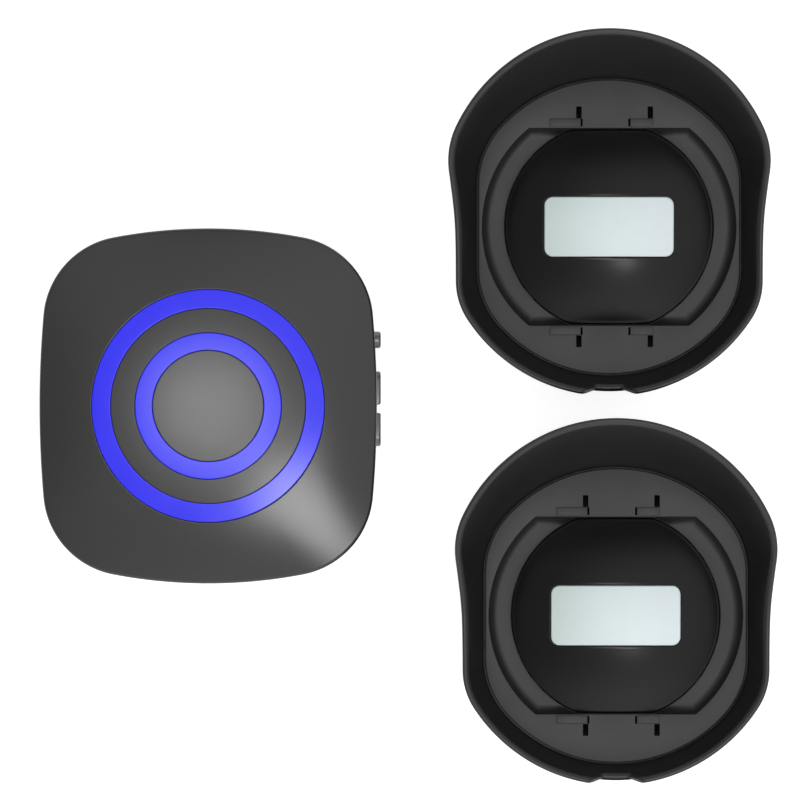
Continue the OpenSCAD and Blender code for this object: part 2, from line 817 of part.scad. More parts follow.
module speaker_magnet() {
    color(gloss_black) translate([0, speaker_y, floor_z + basket_h]) cylinder(r = magnet_r, h = magnet_h);
}

// A stiff wire that stands on a board and bends to run along it
module wire_antenna(rise, run, r) {
    cylinder(r = r, h = rise);
    translate([0, 0, rise]) sphere(r);
    translate([0, 0, rise]) rotate([0, 90, 0]) cylinder(r = r, h = run);
}

module receiver_antenna() {
    color(steel) translate([antenna_in[0] - board_half_x, board_half_y - antenna_in[1], board_z])
        mirror([0, 0, 1]) wire_antenna(antenna_rise[0], 2 * (board_half_x - antenna_in[0]), antenna_r[0]);
}

// Cells side by side along X, turned end for end in turn
module cell_row(z) {
    for (i = [0:cells - 1]) translate([0, (i - (cells - 1) / 2) * cell_pitch, z])
        rotate([0, i % 2 == 0 ? 90 : -90, 0]) translate([0, 0, -cell_len / 2]) {
            cylinder(d = cell_d, h = cell_len - pip_h);
            cylinder(r = pip_r, h = cell_len);
        }
}

// Contact plates at both ends of each cell, with a raised boss that meets it
module contact_row(half_x, half_plate, z) {
    side = 2 * half_plate;
    for (i = [0:cells - 1], s = [0, 1])
        translate([0, (i - (cells - 1) / 2) * cell_pitch, z]) mirror([s, 0, 0]) {
            translate([half_x - contact_t, -half_plate, -half_plate]) cube([contact_t, side, side]);
            translate([cell_len / 2, 0, 0]) rotate([0, 90, 0])
                cylinder(r1 = contact_boss_r[0], r2 = contact_boss_r[1], h = half_x - cell_len / 2);
        }
}

module receiver_batteries() {
    color(cell_grey) translate([0, bay_y, 0]) cell_row(cell_z);
}

module receiver_battery_contacts() {
    color(steel) translate([0, bay_y, 0]) contact_row(bay_x, contact_half, cell_z);
}

module rubber_feet(places) {
    color(rubber_black) at_places(places) cylinder(r = foot_r, h = foot_h + foot_sunk);
}

// A screw with its head down at the origin
module screw(length) {
    difference() {
        cylinder(r = screw_head_r, h = screw_head_h);
        for (a = [0, 90]) rotate(a)
            slab(screw_cross[0] * screw_head_r, screw_cross[1], -cut, screw_head_h / 2);
    }
    translate([0, 0, screw_head_h / 2]) cylinder(d = screw_d, h = length - screw_head_h / 2);
}

module case_screws() {
    color(steel) at_places(screw_places) translate([0, 0, back_z + foot_sunk])
        screw(case_screw_len + pad_z - back_z - foot_sunk - screw_end_gap);
}

// Sensor

module plate_2d(grow) {
    intersection() {
        circle(plate_r + grow);
        square([2 * (plate_flat + grow), 4 * plate_r], center = true);
    }
}

module plate_slab(grow, z0, z1) {
    translate([0, 0, z0]) linear_extrude(z1 - z0) plate_2d(grow);
}

boss_places = [for (a = [0, 180]) for (s = [-1, 1]) housing_boss_at * heading(a + s * housing_boss_angle)];

// One section of the hood at a station: up the outside, over the lip and down the inside
function hood_section(s) =
    let (
        top = rim_rise(s) - lip_round,
        lip_mid = fit_gap + hood_wall / 2 + hood_lean * top,
        bend = [for (t = [0:0.25:1]) [hood_out + hood_lean * hood_blend * t * t, hood_blend * (2 * t - 1)]],
        lip = [for (a = [0:45:180])
            [lip_mid + hood_wall / 2 * cos(a) + hood_lean * lip_round * sin(a), top + lip_round * sin(a)]],
        profile = concat(
            [[fit_gap + hood_rear_wall, rear_z]],
            [for (p = concat(bend, lip)) p + [0, plate_z]],
            [
                [fit_gap, plate_z], [fit_gap, seat_z], [-ledge_w, seat_z],
                [-ledge_w, ledge_z], [fit_gap, ledge_z], [fit_gap, rear_z]
            ]
        )
    ) [for (p = profile) [each moved_out(s, p[0]), p[1]]];

module drain_notch() {
    low = rim_z - notch_d;
    translate([0, cut - plate_r, 0]) rotate([90, 0, 0]) linear_extrude(plate_r) polygon([
        [-notch_w / 2, low], [notch_w / 2, low],
        [notch_w / 2 + notch_shoulder, rim_z + cut], [-notch_w / 2 - notch_shoulder, rim_z + cut]
    ]);
}

module hood() {
    color(housing_black) difference() {
        union() {
            ring_loft([for (s = plate_outline) hood_section(s)]);
            at_places(boss_places) translate([0, 0, ledge_z])
                cylinder(r = housing_boss_r, h = housing_boss_z - ledge_z);
        }
        at_places(boss_places) translate([0, 0, ledge_z - cut])
            cylinder(d = screw_d + 2 * screw_fit, h = cover_screw_len);
        drain_notch();
    }
}

// Half height of the face opening at a level: its flats lean in towards the foot
function barrel_half(z) = barrel_flat - barrel_taper * (plate_z - z) / plate_t;

// The round opening with two flats that narrows towards its foot
module barrel_cut(z0, z1) {
    function barrel_radius(z) = barrel_half(z) + barrel_r - barrel_flat;
    intersection() {
        rotate_extrude() polygon([[0, z0], [barrel_radius(z0), z0], [barrel_radius(z1), z1], [0, z1]]);
        along_x(-barrel_r * 2, barrel_r * 2) polygon([
            [-barrel_half(z0), z0], [barrel_half(z0), z0], [barrel_half(z1), z1], [-barrel_half(z1), z1]
        ]);
    }
}

// The opening's flats stand upright round the dome, a little inside their upper edge
dome_room = barrel_flat - fit_gap / 2;
dome_flat = dome_room - 1.5 * fit_gap;

module face_plate() {
    slit_ends = [clip_tongues[0][1], clip_tongues[1][0] - tongue_slit];
    color(plate_charcoal) difference() {
        union() {
            plate_slab(0, seat_z, plate_z);
            for (side = [0, 1], t = clip_tongues) mirror([0, side, 0])
                translate([t[0], tongue_y, plate_z - cut]) cube([t[1] - t[0], tongue_w, tongue_h + cut]);
        }
        barrel_cut(seat_z - cut, plate_z + cut);
        intersection() {
            translate([0, 0, seat_z - cut]) cylinder(r = dome_r + 1.5 * fit_gap, h = plate_t + 2 * cut);
            slab(4 * dome_r, 2 * dome_room, seat_z - 2 * cut, plate_z + 2 * cut);
        }
        for (side = [0, 1]) mirror([0, side, 0]) {
            for (x = clip_slots) translate([x - clip_slot_w / 2, clip_slot_y, seat_z - cut])
                cube([clip_slot_w, clip_slot_h, plate_t + 2 * cut]);
            for (x = slit_ends) translate([x, tongue_y, plate_z - plate_t / 2])
                cube([tongue_slit, tongue_w, plate_t]);
        }
    }
}

module bezel() {
    hole_flat = dome_flat + fit_gap;
    color(plate_charcoal) translate([0, 0, flange_z]) linear_extrude(bezel_t) difference() {
        plate_2d(-ledge_w - 2 * fit_gap);
        intersection() {
            circle(dome_r + fit_gap);
            square([4 * dome_r, 2 * hole_flat], center = true);
        }
    }
}

module dome_ball(inset) {
    translate([0, 0, dome_ball_z]) sphere(dome_ball_r - inset);
}

module lens_prism(grow, r) {
    translate([0, 0, seat_z]) linear_extrude(2 * dome_rise)
        rounded_rect(lens_w + 2 * grow, lens_h + 2 * grow, r);
}

module dome() {
    high = seat_z + 2 * dome_rise;
    color(gloss_black) difference() {
        union() {
            intersection() {
                dome_ball(0);
                translate([0, 0, dome_z]) cylinder(r = dome_r, h = high - dome_z);
                slab(4 * dome_r, 2 * dome_flat, dome_z - cut, high + cut);
            }
            translate([0, 0, dome_z]) cylinder(r = dome_r + dome_flange_w, h = dome_flange_t);
        }
        intersection() {
            dome_ball(dome_t);
            translate([0, 0, dome_z - cut]) cylinder(r = dome_r - dome_t, h = high - dome_z);
            slab(4 * dome_r, 2 * (dome_flat - dome_t), dome_z - cut, high);
        }
        lens_prism(trim_gap, lens_corner_r);
    }
}

// A thin tray-shaped lens: its panel fills the window and its flange lies behind the dome
module lens() {
    back = dome_t + lens_seat_gap + lens_t;
    color(lens_white) difference() {
        union() {
            intersection() {
                dome_ball(0);
                lens_prism(0, lens_corner_r);
            }
            intersection() {
                dome_ball(dome_t + lens_seat_gap);
                lens_prism(lens_flange_w, lens_corner_r);
            }
        }
        intersection() {
            dome_ball(lens_t);
            lens_prism(-lens_t, lens_corner_r - 0.75 * lens_t);
        }
        dome_ball(back);
    }
}

module detector() {
    window = detector_window;
    color(steel) translate([0, 0, sensor_board_top_z]) difference() {
        union() {
            cylinder(r = detector_d / 2 + detector_foot[0], h = detector_foot[1]);
            cylinder(d = detector_d, h = detector_h);
        }
        slab(window[0], window[1], detector_h - window[2], detector_h + cut);
    }
}

module circuit_board() {
    color(board_green) translate([0, 0, sensor_board_z]) linear_extrude(board_t)
        rounded_rect(sensor_board[0], sensor_board[1], sensor_board_corner_r);
}

module chips() {
    translate([0, 0, sensor_board_top_z]) chip_set(sensor_chip_table);
}

module antenna() {
    half = sensor_board[0] / 3;
    color(steel) translate([-half, sensor_board[1] / 2 - antenna_in[1], sensor_board_top_z])
        wire_antenna(antenna_rise[1], 2 * half, antenna_r[1]);
}

module battery_tray() {
    low = cover_z + rear_gap;
    color(housing_black) {
        difference() {
            tray_block(tray_wall, tray_r, low, tray_top_z);
            tray_block(0, tray_pocket_r, low - cut, tray_floor_z);
        }
        for (p = boss_places) tray_ear(p);
        for (a = [0, 180], s = [-1, 1])
            translate([each post_at * heading(a + s * post_angle), tray_top_z - cut / 2])
                cylinder(r = post_r, h = dome_z - tray_top_z + cut / 2);
        for (s = [-1, 1]) translate([0, s * sensor_board[1] / 3, 0])
            slab(2 * sensor_board[0] / 3, board_rib_w, tray_top_z - cut / 2, sensor_board_z);
    }
}

// A block round the cells, with its corners cut to the round of the housing
module tray_block(wall, r, z0, z1) {
    intersection() {
        slab(2 * (tray_half_x + wall), 2 * (tray_half_y + wall), z0, z1);
        translate([0, 0, z0]) cylinder(r = r, h = z1 - z0);
    }
}

// An ear of the tray that stands on a boss of the hood
module tray_ear(p) {
    side = p[1] > 0 ? 1 : -1;
    root = tray_half_y + tray_wall / 2;
    translate([p[0], p[1], housing_boss_z]) cylinder(r = ear_r, h = tray_top_z - housing_boss_z);
    translate([p[0] - ear_r, side > 0 ? root : p[1], housing_boss_z])
        cube([2 * ear_r, abs(p[1]) - root, tray_top_z - housing_boss_z]);
}

module batteries() {
    color(cell_grey) cell_row(tray_cell_z);
}

module battery_contacts() {
    room = sqrt(pow(tray_pocket_r, 2) - pow(tray_half_x, 2)) - cell_pitch * (cells - 1) / 2;
    color(steel) contact_row(tray_half_x, min(contact_half, room - trim_gap), tray_cell_z);
}

module gasket() {
    color(rubber_black) difference() {
        plate_slab(0, cover_z, ledge_z);
        plate_slab(-ledge_w, cover_z - cut, ledge_z + cut);
    }
}

// Half width of the rail at a level: wider away from the cover, so that the bracket holds it
function rail_half(z) = rail_w / 2 + (rear_z - z) * rail_flare;

module rail_form(z0, z1, y0, y1, grow) {
    translate([0, y1, 0]) rotate([90, 0, 0]) linear_extrude(y1 - y0) polygon([
        [-rail_half(z0) - grow, z0], [rail_half(z0) + grow, z0],
        [rail_half(z1) + grow, z1], [-rail_half(z1) - grow, z1]
    ]);
}

module back_cover() {
    color(housing_black) difference() {
        union() {
            plate_slab(0, rear_z, cover_z);
            rail_form(rear_z - rail_h, rear_z + cut / 4, -rail_len / 2, rail_len / 2, 0);
        }
        at_places(boss_places) {
            translate([0, 0, rear_z - cut]) cylinder(d = screw_d + 2 * fit_gap, h = cover_t + 2 * cut);
            translate([0, 0, rear_z - cut])
                cylinder(r = screw_head_r + fit_gap, h = screw_head_h + fit_gap + cut);
        }
    }
}

module cover_screws() {
    color(steel) at_places(boss_places) translate([0, 0, rear_z + fit_gap])
        screw(cover_t + gasket_t + cover_screw_len - cover_screw_end_gap);
}

module wall_bracket() {
    color(housing_black) difference() {
        linear_extrude(bracket_t) rounded_rect(bracket_w, bracket_h, bracket_corner_r);
        rail_form(bracket_floor, bracket_t + cut / 4, -rail_len / 2 - slide_gap, bracket_h, slide_gap);
        for (s = [-1, 1]) translate([0, s * wall_screw_pitch / 2, 0]) {
            translate([0, 0, -cut]) cylinder(d = wall_screw_d, h = bracket_floor + 2 * cut);
            translate([0, 0, bracket_floor - countersink_h])
                cylinder(d1 = wall_screw_d, d2 = wall_screw_d + 2 * countersink_w, h = countersink_h);
        }
    }
}

module in_receiver() {
    translate([receiver_at[0], receiver_at[1], 0]) children();
}

module in_sensor(k) {
    translate([sensor_at[k - 1][0], sensor_at[k - 1][1], 0]) children();
}

if (wanted("receiver_front_shell")) in_receiver() receiver_front_shell();
if (wanted("receiver_back_shell")) in_receiver() receiver_back_shell();
if (wanted("light_guide")) in_receiver() light_guide();
if (wanted("ring_band")) in_receiver() ring_band();
if (wanted("centre_disc")) in_receiver() centre_disc();
if (wanted("pair_button")) in_receiver() pair_button();
if (wanted("volume_button")) in_receiver() long_button(0);
if (wanted("melody_button")) in_receiver() long_button(1);
if (wanted("side_switches")) in_receiver() side_switches();
if (wanted("receiver_circuit_board")) in_receiver() receiver_circuit_board();
if (wanted("receiver_chips")) in_receiver() receiver_chips();
if (wanted("ring_leds")) in_receiver() ring_leds();
if (wanted("speaker_basket")) in_receiver() speaker_basket();
if (wanted("speaker_cone")) in_receiver() speaker_cone();
if (wanted("speaker_magnet")) in_receiver() speaker_magnet();
if (wanted("receiver_antenna")) in_receiver() receiver_antenna();
if (wanted("receiver_batteries")) in_receiver() receiver_batteries();
if (wanted("receiver_battery_contacts")) in_receiver() receiver_battery_contacts();
if (wanted("battery_door")) in_receiver() battery_door();
if (wanted("receiver_feet")) in_receiver() rubber_feet(screw_places);
if (wanted("door_feet")) in_receiver() rubber_feet(door_foot_places);
if (wanted("case_screws")) in_receiver() case_screws();
for (k = [1, 2]) {
    if (wanted(sensor_node(k, "hood"))) in_sensor(k) hood();
    if (wanted(sensor_node(k, "face_plate"))) in_sensor(k) face_plate();
    if (wanted(sensor_node(k, "bezel"))) in_sensor(k) bezel();
    if (wanted(sensor_node(k, "dome"))) in_sensor(k) dome();
    if (wanted(sensor_node(k, "lens"))) in_sensor(k) lens();
    if (wanted(sensor_node(k, "detector"))) in_sensor(k) detector();
    if (wanted(sensor_node(k, "circuit_board"))) in_sensor(k) circuit_board();
    if (wanted(sensor_node(k, "chips"))) in_sensor(k) chips();
    if (wanted(sensor_node(k, "antenna"))) in_sensor(k) antenna();
    if (wanted(sensor_node(k, "battery_tray"))) in_sensor(k) battery_tray();
    if (wanted(sensor_node(k, "batteries"))) in_sensor(k) batteries();
    if (wanted(sensor_node(k, "battery_contacts"))) in_sensor(k) battery_contacts();
    if (wanted(sensor_node(k, "gasket"))) in_sensor(k) gasket();
    if (wanted(sensor_node(k, "back_cover"))) in_sensor(k) back_cover();
    if (wanted(sensor_node(k, "cover_screws"))) in_sensor(k) cover_screws();
    if (wanted(sensor_node(k, "wall_bracket"))) in_sensor(k) wall_bracket();
}
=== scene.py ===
"""Looks of the entry chime set: finer meshes, moulded plastics, lit rings and a pale studio."""

import json
import math

import bmesh
import bpy
import numpy as np
from mathutils import Matrix, Vector
from mathutils.geometry import delaunay_2d_cdt

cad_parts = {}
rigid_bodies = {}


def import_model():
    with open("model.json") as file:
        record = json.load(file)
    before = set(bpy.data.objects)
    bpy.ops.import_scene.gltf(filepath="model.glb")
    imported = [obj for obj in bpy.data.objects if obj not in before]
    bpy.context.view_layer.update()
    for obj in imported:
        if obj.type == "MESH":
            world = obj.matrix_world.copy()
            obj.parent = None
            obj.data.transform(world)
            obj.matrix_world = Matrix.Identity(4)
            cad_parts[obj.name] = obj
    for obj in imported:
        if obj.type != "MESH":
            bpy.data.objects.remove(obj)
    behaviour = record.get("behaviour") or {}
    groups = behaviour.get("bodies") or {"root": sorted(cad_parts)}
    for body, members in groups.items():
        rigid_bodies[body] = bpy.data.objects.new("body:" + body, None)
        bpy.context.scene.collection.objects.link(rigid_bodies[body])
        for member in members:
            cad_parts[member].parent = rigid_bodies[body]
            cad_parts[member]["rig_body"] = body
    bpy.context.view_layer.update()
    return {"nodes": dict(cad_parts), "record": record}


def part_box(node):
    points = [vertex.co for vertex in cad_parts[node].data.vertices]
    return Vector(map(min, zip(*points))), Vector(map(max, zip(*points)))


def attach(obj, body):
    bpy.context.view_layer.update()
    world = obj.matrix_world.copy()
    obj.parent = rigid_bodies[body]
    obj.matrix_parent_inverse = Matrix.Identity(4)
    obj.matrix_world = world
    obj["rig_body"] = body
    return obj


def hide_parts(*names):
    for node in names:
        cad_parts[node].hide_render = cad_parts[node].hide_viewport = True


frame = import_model()

MM = 0.001

# Sizes in millimetres. They are those of the part, apart from the crown and edge of the case, the corners
# of plate and rim, the shoulders of the drain notch and the rise of the dome, which follow the photo more
# closely here.

# The receiver
RECEIVER_W = 70.5
RECEIVER_H = 74.2
CORNER_R = 18.0
SIDE_ARC_R = 219.0
END_ARC_R = 106.0
CASE_WALL = 2.2
FACE_WALL = 2.6
FACE_EDGE_R = 0.7
FACE_DROP = 2.3
SPLIT_Z = 11.0
SPLIT_GAP = 0.3
FACE_Z = 28.0
FACE_RISE = 1.2
OUTER_RING_R = 24.25
OUTER_RING_W = 3.8
INNER_RING_R = 15.25
INNER_RING_W = 3.55
TRIM_GAP = 0.12
FIT_GAP = 0.2
RING_EDGE_Z = FACE_Z - FACE_RISE
CEILING_Z = RING_EDGE_Z - FACE_WALL
FACE_BALL_R = (OUTER_RING_R**2 + FACE_RISE**2) / (2 * FACE_RISE)
CROWN_FOOT_R = OUTER_RING_R - 1
CROWN_STEEPER = 1.1
BUTTON_Z = 17.6
BUTTON_FACE_X = 36.05
BUTTON_ROOT_X = 31.2
BUTTON_W = 4.0
BUTTON_LEN = 7.0
PAIR_Y = 13.8
PAIR_R = 1.775
LONG_BUTTON_Y = (3.75, -4.95)

# The sensors
PLATE_R = 30.8
PLATE_FLAT = 27.4
PLATE_Z = 33.5
SEAT_Z = 30.3
REAR_CORNER_R = 3.0
FACE_CORNER_R = 18.0
RIM_CORNER_R = 10.0
HOOD_WALL = 1.6
HOOD_REAR_WALL = 1.3
RIM_H = 8.5
VISOR_H = 25.0
CLIMB_Y = 1.6
CLIMB_SOFT = 1.0
HOOD_LEAN = math.tan(math.radians(19.5))
HOOD_BLEND = 5.0
LIP_ROUND = 0.8
LEDGE_W = 1.2
HOOD_OUT = FIT_GAP + HOOD_WALL
REAR_Z = 5.5
LEDGE_Z = 10.1
NOTCH_W = 6.7
NOTCH_D = 3.5
NOTCH_EASE = 3.6
NOTCH_EARLY = 0.24
BARREL_R = 26.5
BARREL_FLAT = 20.6
BARREL_TAPER = 1.9
DOME_R = 21.7
DOME_TOP = 6.5
DOME_RISE = 4.8
DOME_FOOT_Z = 28.3
DOME_ROOM_R = DOME_R + 1.5 * FIT_GAP
DOME_ROOM_FLAT = BARREL_FLAT - FIT_GAP / 2
DOME_FLAT = DOME_ROOM_FLAT - 1.5 * FIT_GAP
DOME_BALL_R = (DOME_R**2 + DOME_RISE**2) / (2 * DOME_RISE)
DOME_BALL_Z = SEAT_Z + DOME_TOP - DOME_BALL_R
LENS_W = 27.0
LENS_H = 12.5
LENS_CORNER_R = 1.8
CLIP_TONGUES = ((-12.4, -5.9), (4.4, 9.2))
TONGUE_Y = 20.85
TONGUE_W = 1.7
TONGUE_H = 0.25
SLIT_W = 0.35
TONGUE_SOFT = 0.12
CLIP_SLOTS = (-6.3, 8.6)
CLIP_SLOT_W = 1.06
CLIP_SLOT_H = 2.4
CLIP_SLOT_Y = 22.67

# Small rounded corners turn a hair past a right angle, in degrees
CORNER_TURN = 90.001

# Scales of slow patches and dust specks on plastic, and the depth of a fine texture in metres
PATCH_SCALE = 45.0
SPECK_SCALE = 5200.0
TEXTURE_DEPTH = 2e-5


# Shader maths

class Value:
    """A shader socket that takes part in plain arithmetic."""

    def __init__(self, paint, socket):
        self.paint, self.socket = paint, socket

    def math(self, operation, *operands):
        return self.paint.node("ShaderNodeMath", {"operation": operation}, operands)

    def __add__(self, other):
        return self.math("ADD", self, other)

    def __sub__(self, other):
        return self.math("SUBTRACT", self, other)

    def __rsub__(self, other):
        return self.math("SUBTRACT", other, self)

    def __mul__(self, other):
        return self.math("MULTIPLY", self, other)

    __radd__, __rmul__ = __add__, __mul__

    def ease(self, low, high, to_low=0.0, to_high=1.0):
        """A soft step from to_low to to_high as the value goes from low to high."""
        settings = {"interpolation_type": "SMOOTHSTEP"}
        return self.paint.node("ShaderNodeMapRange", settings, [self, low, high, to_low, to_high])


class Paint:
    """A node tree under construction, for a material or for the world."""

    def __init__(self, owner):
        owner.use_nodes = True
        self.owner, self.tree = owner, owner.node_tree
        self.tree.nodes.clear()

    def node(self, kind, settings=None, sockets=(), out=0):
        made = self.tree.nodes.new(kind)
        for key, value in (settings or {}).items():
            setattr(made, key, value)
        for key, value in sockets.items() if isinstance(sockets, dict) else enumerate(sockets):
            if isinstance(value, Value):
                self.tree.links.new(value.socket, made.inputs[key])
            else:
                made.inputs[key].default_value = value
        return Value(self, made.outputs[out]) if made.outputs else made

    def at(self):
        return self.node("ShaderNodeTexCoord", out="Object")

    def axis(self, index):
        return self.node("ShaderNodeSeparateXYZ", {}, [self.at()], index)

    def noise(self, scale, detail=2.0, rough=0.5):
        sockets = {"Vector": self.at(), "Scale": scale, "Detail": detail, "Roughness": rough}
        return self.node("ShaderNodeTexNoise", {}, sockets)

    def mix(self, factor, one, other):
        sockets = {0: factor, 6: shade(one), 7: shade(other)}
        return self.node("ShaderNodeMix", {"data_type": "RGBA"}, sockets, 2)

    def shown(self):
        """Rays that show the background: straight to the camera, and in a gloss or a clear piece."""
        kinds = ("Camera", "Glossy", "Transmission")
        direct, glossy, through = (self.node("ShaderNodeLightPath", out=f"Is {kind} Ray") for kind in kinds)
        return direct, glossy + through

    def bump(self, height, strength, distance):
        sockets = {"Strength": strength, "Distance": distance, "Height": height}
        return self.node("ShaderNodeBump", {}, sockets)

    def finish(self, sockets):
        surface = self.node("ShaderNodeBsdfPrincipled", {}, sockets)
        self.node("ShaderNodeOutputMaterial", {}, [surface])
        return self.owner


# Finishes

def shade(colour):
    """A colour for a socket: a linked one, a grey level or three linear levels."""
    if isinstance(colour, Value):
        return colour
    return (colour, colour, colour, 1.0) if isinstance(colour, float) else (*colour, 1.0)


def scaled(colour, share):
    """A lighter or darker tone of a colour."""
    return tuple(share * level for level in colour)


def moulded(name, tint, rough, grain=(2400.0, 0.12), mottle=0.10, dust=0.012, **sockets):
    """Moulded plastic: a fine spark texture, slow patches in tone and gloss, and a little settled dust."""
    paint = Paint(bpy.data.materials.new(name))
    fine = paint.noise(grain[0], 3.0, 0.6)
    patch = paint.noise(PATCH_SCALE, 4.0, 0.55)
    speck = paint.noise(SPECK_SCALE, 1.0).ease(0.73, 0.80)
    base = paint.mix(patch, scaled(tint, 1 - mottle), scaled(tint, 1 + mottle))
    base = paint.mix(speck * dust * 8, base, 0.35)
    gloss = rough + (patch - 0.5) * (0.35 * rough) + (fine - 0.5) * (0.2 * rough) + speck * 0.15
    named = {"Base Color": base, "Roughness": gloss, "Normal": paint.bump(fine, grain[1], TEXTURE_DEPTH)}
    return paint.finish({**named, **sockets})


def metal(name, tint, rough):
    """Plated or drawn metal with fine lines along it."""
    paint = Paint(bpy.data.materials.new(name))
    drawn = paint.node("ShaderNodeMapping", {}, {0: paint.at(), 3: (60.0, 900.0, 900.0)})
    lines = paint.node("ShaderNodeTexNoise", {}, {"Vector": drawn, "Scale": 4.0, "Detail": 3.0})
    base = paint.mix(lines, scaled(tint, 0.8), tint)
    gloss = rough + (lines - 0.5) * 0.2
    normal = paint.bump(lines, 0.1, TEXTURE_DEPTH)
    return paint.finish({"Base Color": base, "Roughness": gloss, "Metallic": 1.0, "Normal": normal})


def lit_ring():
    """A translucent ring lit blue from behind, with a slightly cloudy glow."""
    paint = Paint(bpy.data.materials.new("ring_light"))
    cloud = paint.noise(160.0, 3.0)
    glow = paint.mix(cloud, (0.006, 0.004, 0.74), (0.010, 0.007, 0.80))
    base = paint.mix(cloud, (0.004, 0.004, 0.07), (0.006, 0.006, 0.09))
    sockets = {"Base Color": base, "Roughness": 0.16 + cloud * 0.05}
    return paint.finish({**sockets, "Emission Color": glow, "Emission Strength": 1.0})


def sensor_lens():
    """The thin white lens: faint facets show through, with painted shade that is darker and greener to the
    left, lighter and bluer to the right.
    """
    paint = Paint(bpy.data.materials.new("lens_plastic"))
    cell = paint.node("ShaderNodeTexVoronoi", {}, {"Vector": paint.at(), "Scale": 420.0})
    haze = paint.noise(120.0, 3.0)
    across = paint.node("ShaderNodeSeparateXYZ", {}, [paint.node("ShaderNodeTexCoord", out="Generated")])
    # Painted shade across the lens: darker and greener at the left, lighter and bluer at the right
    base = paint.mix(across * 0.8 + haze * 0.2, (0.63, 0.73, 0.70), (0.83, 0.91, 0.95))
    base = paint.mix(cell.ease(0.0, 1.0, 0.0, 0.05), base, (0.5, 0.58, 0.6))
    gloss = 0.38 + haze * 0.1
    normal = paint.bump(cell, 0.03, 3e-5)
    sockets = {"Base Color": base, "Roughness": gloss, "Normal": normal}
    deep = {"Subsurface Weight": 0.25, "Subsurface Radius": (1.0, 1.0, 1.0), "Subsurface Scale": 8e-4}
    return paint.finish({**sockets, **deep})


def floor_paint():
    """A pale matt floor that looks brighter to the camera than the light on it makes it."""
    paint = Paint(bpy.data.materials.new("floor"))
    grain = paint.noise(90.0, 5.0)
    direct, mirrored = paint.shown()
    lift = paint.mix(direct + mirrored, 0.0, 0.70)
    sockets = {"Base Color": paint.mix(grain, 0.84, 0.86), "Roughness": 0.9, "Specular IOR Level": 0.1}
    return paint.finish({**sockets, "Emission Color": lift, "Emission Strength": 1.0})


def cell_sleeve():
    """A printed battery sleeve with a coloured part."""
    paint = Paint(bpy.data.materials.new("cell_sleeve"))
    band = paint.axis(0).ease(-0.012, -0.0115)
    base = paint.mix(band, (0.02, 0.02, 0.022), (0.05, 0.2, 0.35))
    gloss = 0.25 + paint.noise(300.0) * 0.1
    return paint.finish({"Base Color": base, "Roughness": gloss})


def board_mask():
    """Green board lacquer over tracks."""
    paint = Paint(bpy.data.materials.new("circuit_board"))
    tracks = paint.node("ShaderNodeTexBrick", {}, {"Vector": paint.at(), "Scale": 260.0}, 1)
    base = paint.mix(tracks, (0.012, 0.09, 0.04), (0.03, 0.16, 0.08))
    return paint.finish({"Base Color": base, "Roughness": 0.3 + paint.noise(400.0) * 0.1})


def with_gloss(level):
    """How strongly a plastic mirrors, as a socket of its shader."""
    return {"Specular IOR Level": level}


PAINTS = {
    "case_plastic": moulded("case_plastic", (0.023, 0.023, 0.0225), 0.19, (1800.0, 0.01), 0.05),
    "button_plastic": moulded(
        "button_plastic", (0.09, 0.09, 0.09), 0.24, (1800.0, 0.03), 0.06, **with_gloss(0.95)
    ),
    "ring_light": lit_ring(),
    "housing_plastic": moulded(
        "housing_plastic", (0.004, 0.004, 0.0042), 0.43, (2600.0, 0.16), 0.12, **with_gloss(0.62)
    ),
    "face_plastic": moulded(
        "face_plastic", (0.017, 0.017, 0.0175), 0.50, (2600.0, 0.14), 0.08, **with_gloss(0.53)
    ),
    "gloss_dome": moulded(
        "gloss_dome", (0.003, 0.003, 0.0033), 0.24, (900.0, 0.01), 0.15, 0.006, **with_gloss(0.27)
    ),
    "lens_plastic": sensor_lens(),
    "black_moulding": moulded("black_moulding", (0.02, 0.02, 0.02), 0.45),
    "circuit_board": board_mask(),
    "led_body": moulded("led_body", (0.75, 0.75, 0.7), 0.3),
    "steel": metal("steel", (0.6, 0.6, 0.6), 0.35),
    "speaker_paper": moulded("speaker_paper", (0.03, 0.03, 0.03), 0.8, (1500.0, 0.3)),
    "magnet": metal("magnet", (0.12, 0.12, 0.12), 0.45),
    "cell_sleeve": cell_sleeve(),
    "rubber": moulded("rubber", (0.016, 0.016, 0.016), 0.75, (1800.0, 0.2)),
}


# Placing pieces

def centre_of(node):
    """Middle of a node's box."""
    low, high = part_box(node)
    return (low + high) / 2


RECEIVER_AT = centre_of("centre_disc")
SENSORS = (1, 2)
SENSOR_AT = {number: centre_of(f"sensor_{number}_lens") for number in SENSORS}


def piece(name, points, faces, slot, body, nodes, at, crease=32.0):
    """A piece from points in millimetres round a unit's middle, which rides on a body of the part."""
    mesh = bpy.data.meshes.new(name)
    placed = np.asarray(points, float) * MM + np.array([at.x, at.y, 0.0])
    mesh.from_pydata(placed.tolist(), [], [list(map(int, f)) for f in faces])
    return put(name, mesh, slot, body, nodes, crease)


def put(name, mesh, slot, body, nodes, crease):
    """Welds a mesh and shows it as a piece."""
    shape = bmesh.new()
    shape.from_mesh(mesh)
    bmesh.ops.remove_doubles(shape, verts=shape.verts, dist=1e-7)
    bmesh.ops.recalc_face_normals(shape, faces=shape.faces)
    shape.to_mesh(mesh)
    shape.free()
    made = bpy.data.objects.new(name, mesh)
    bpy.context.scene.collection.objects.link(made)
    dress(made, slot, body, nodes, crease)
    return made


def dress(made, slot, body, nodes, crease):
    """Shades a piece smooth up to a crease angle and paints it; with a body, it stands for its nodes."""
    mesh = made.data
    mesh.polygons.foreach_set("use_smooth", [True] * len(mesh.polygons))
    mesh.set_sharp_from_angle(angle=math.radians(crease))
    mesh.materials.clear()
    mesh.materials.append(PAINTS[slot])
    if body:
        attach(made, body)
        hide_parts(*nodes)


def receiver_piece(name, shape, slot, nodes):
    """A piece of the receiver's case, which stands for the named nodes."""
    return piece(name, *shape, slot, "receiver", nodes, RECEIVER_AT)


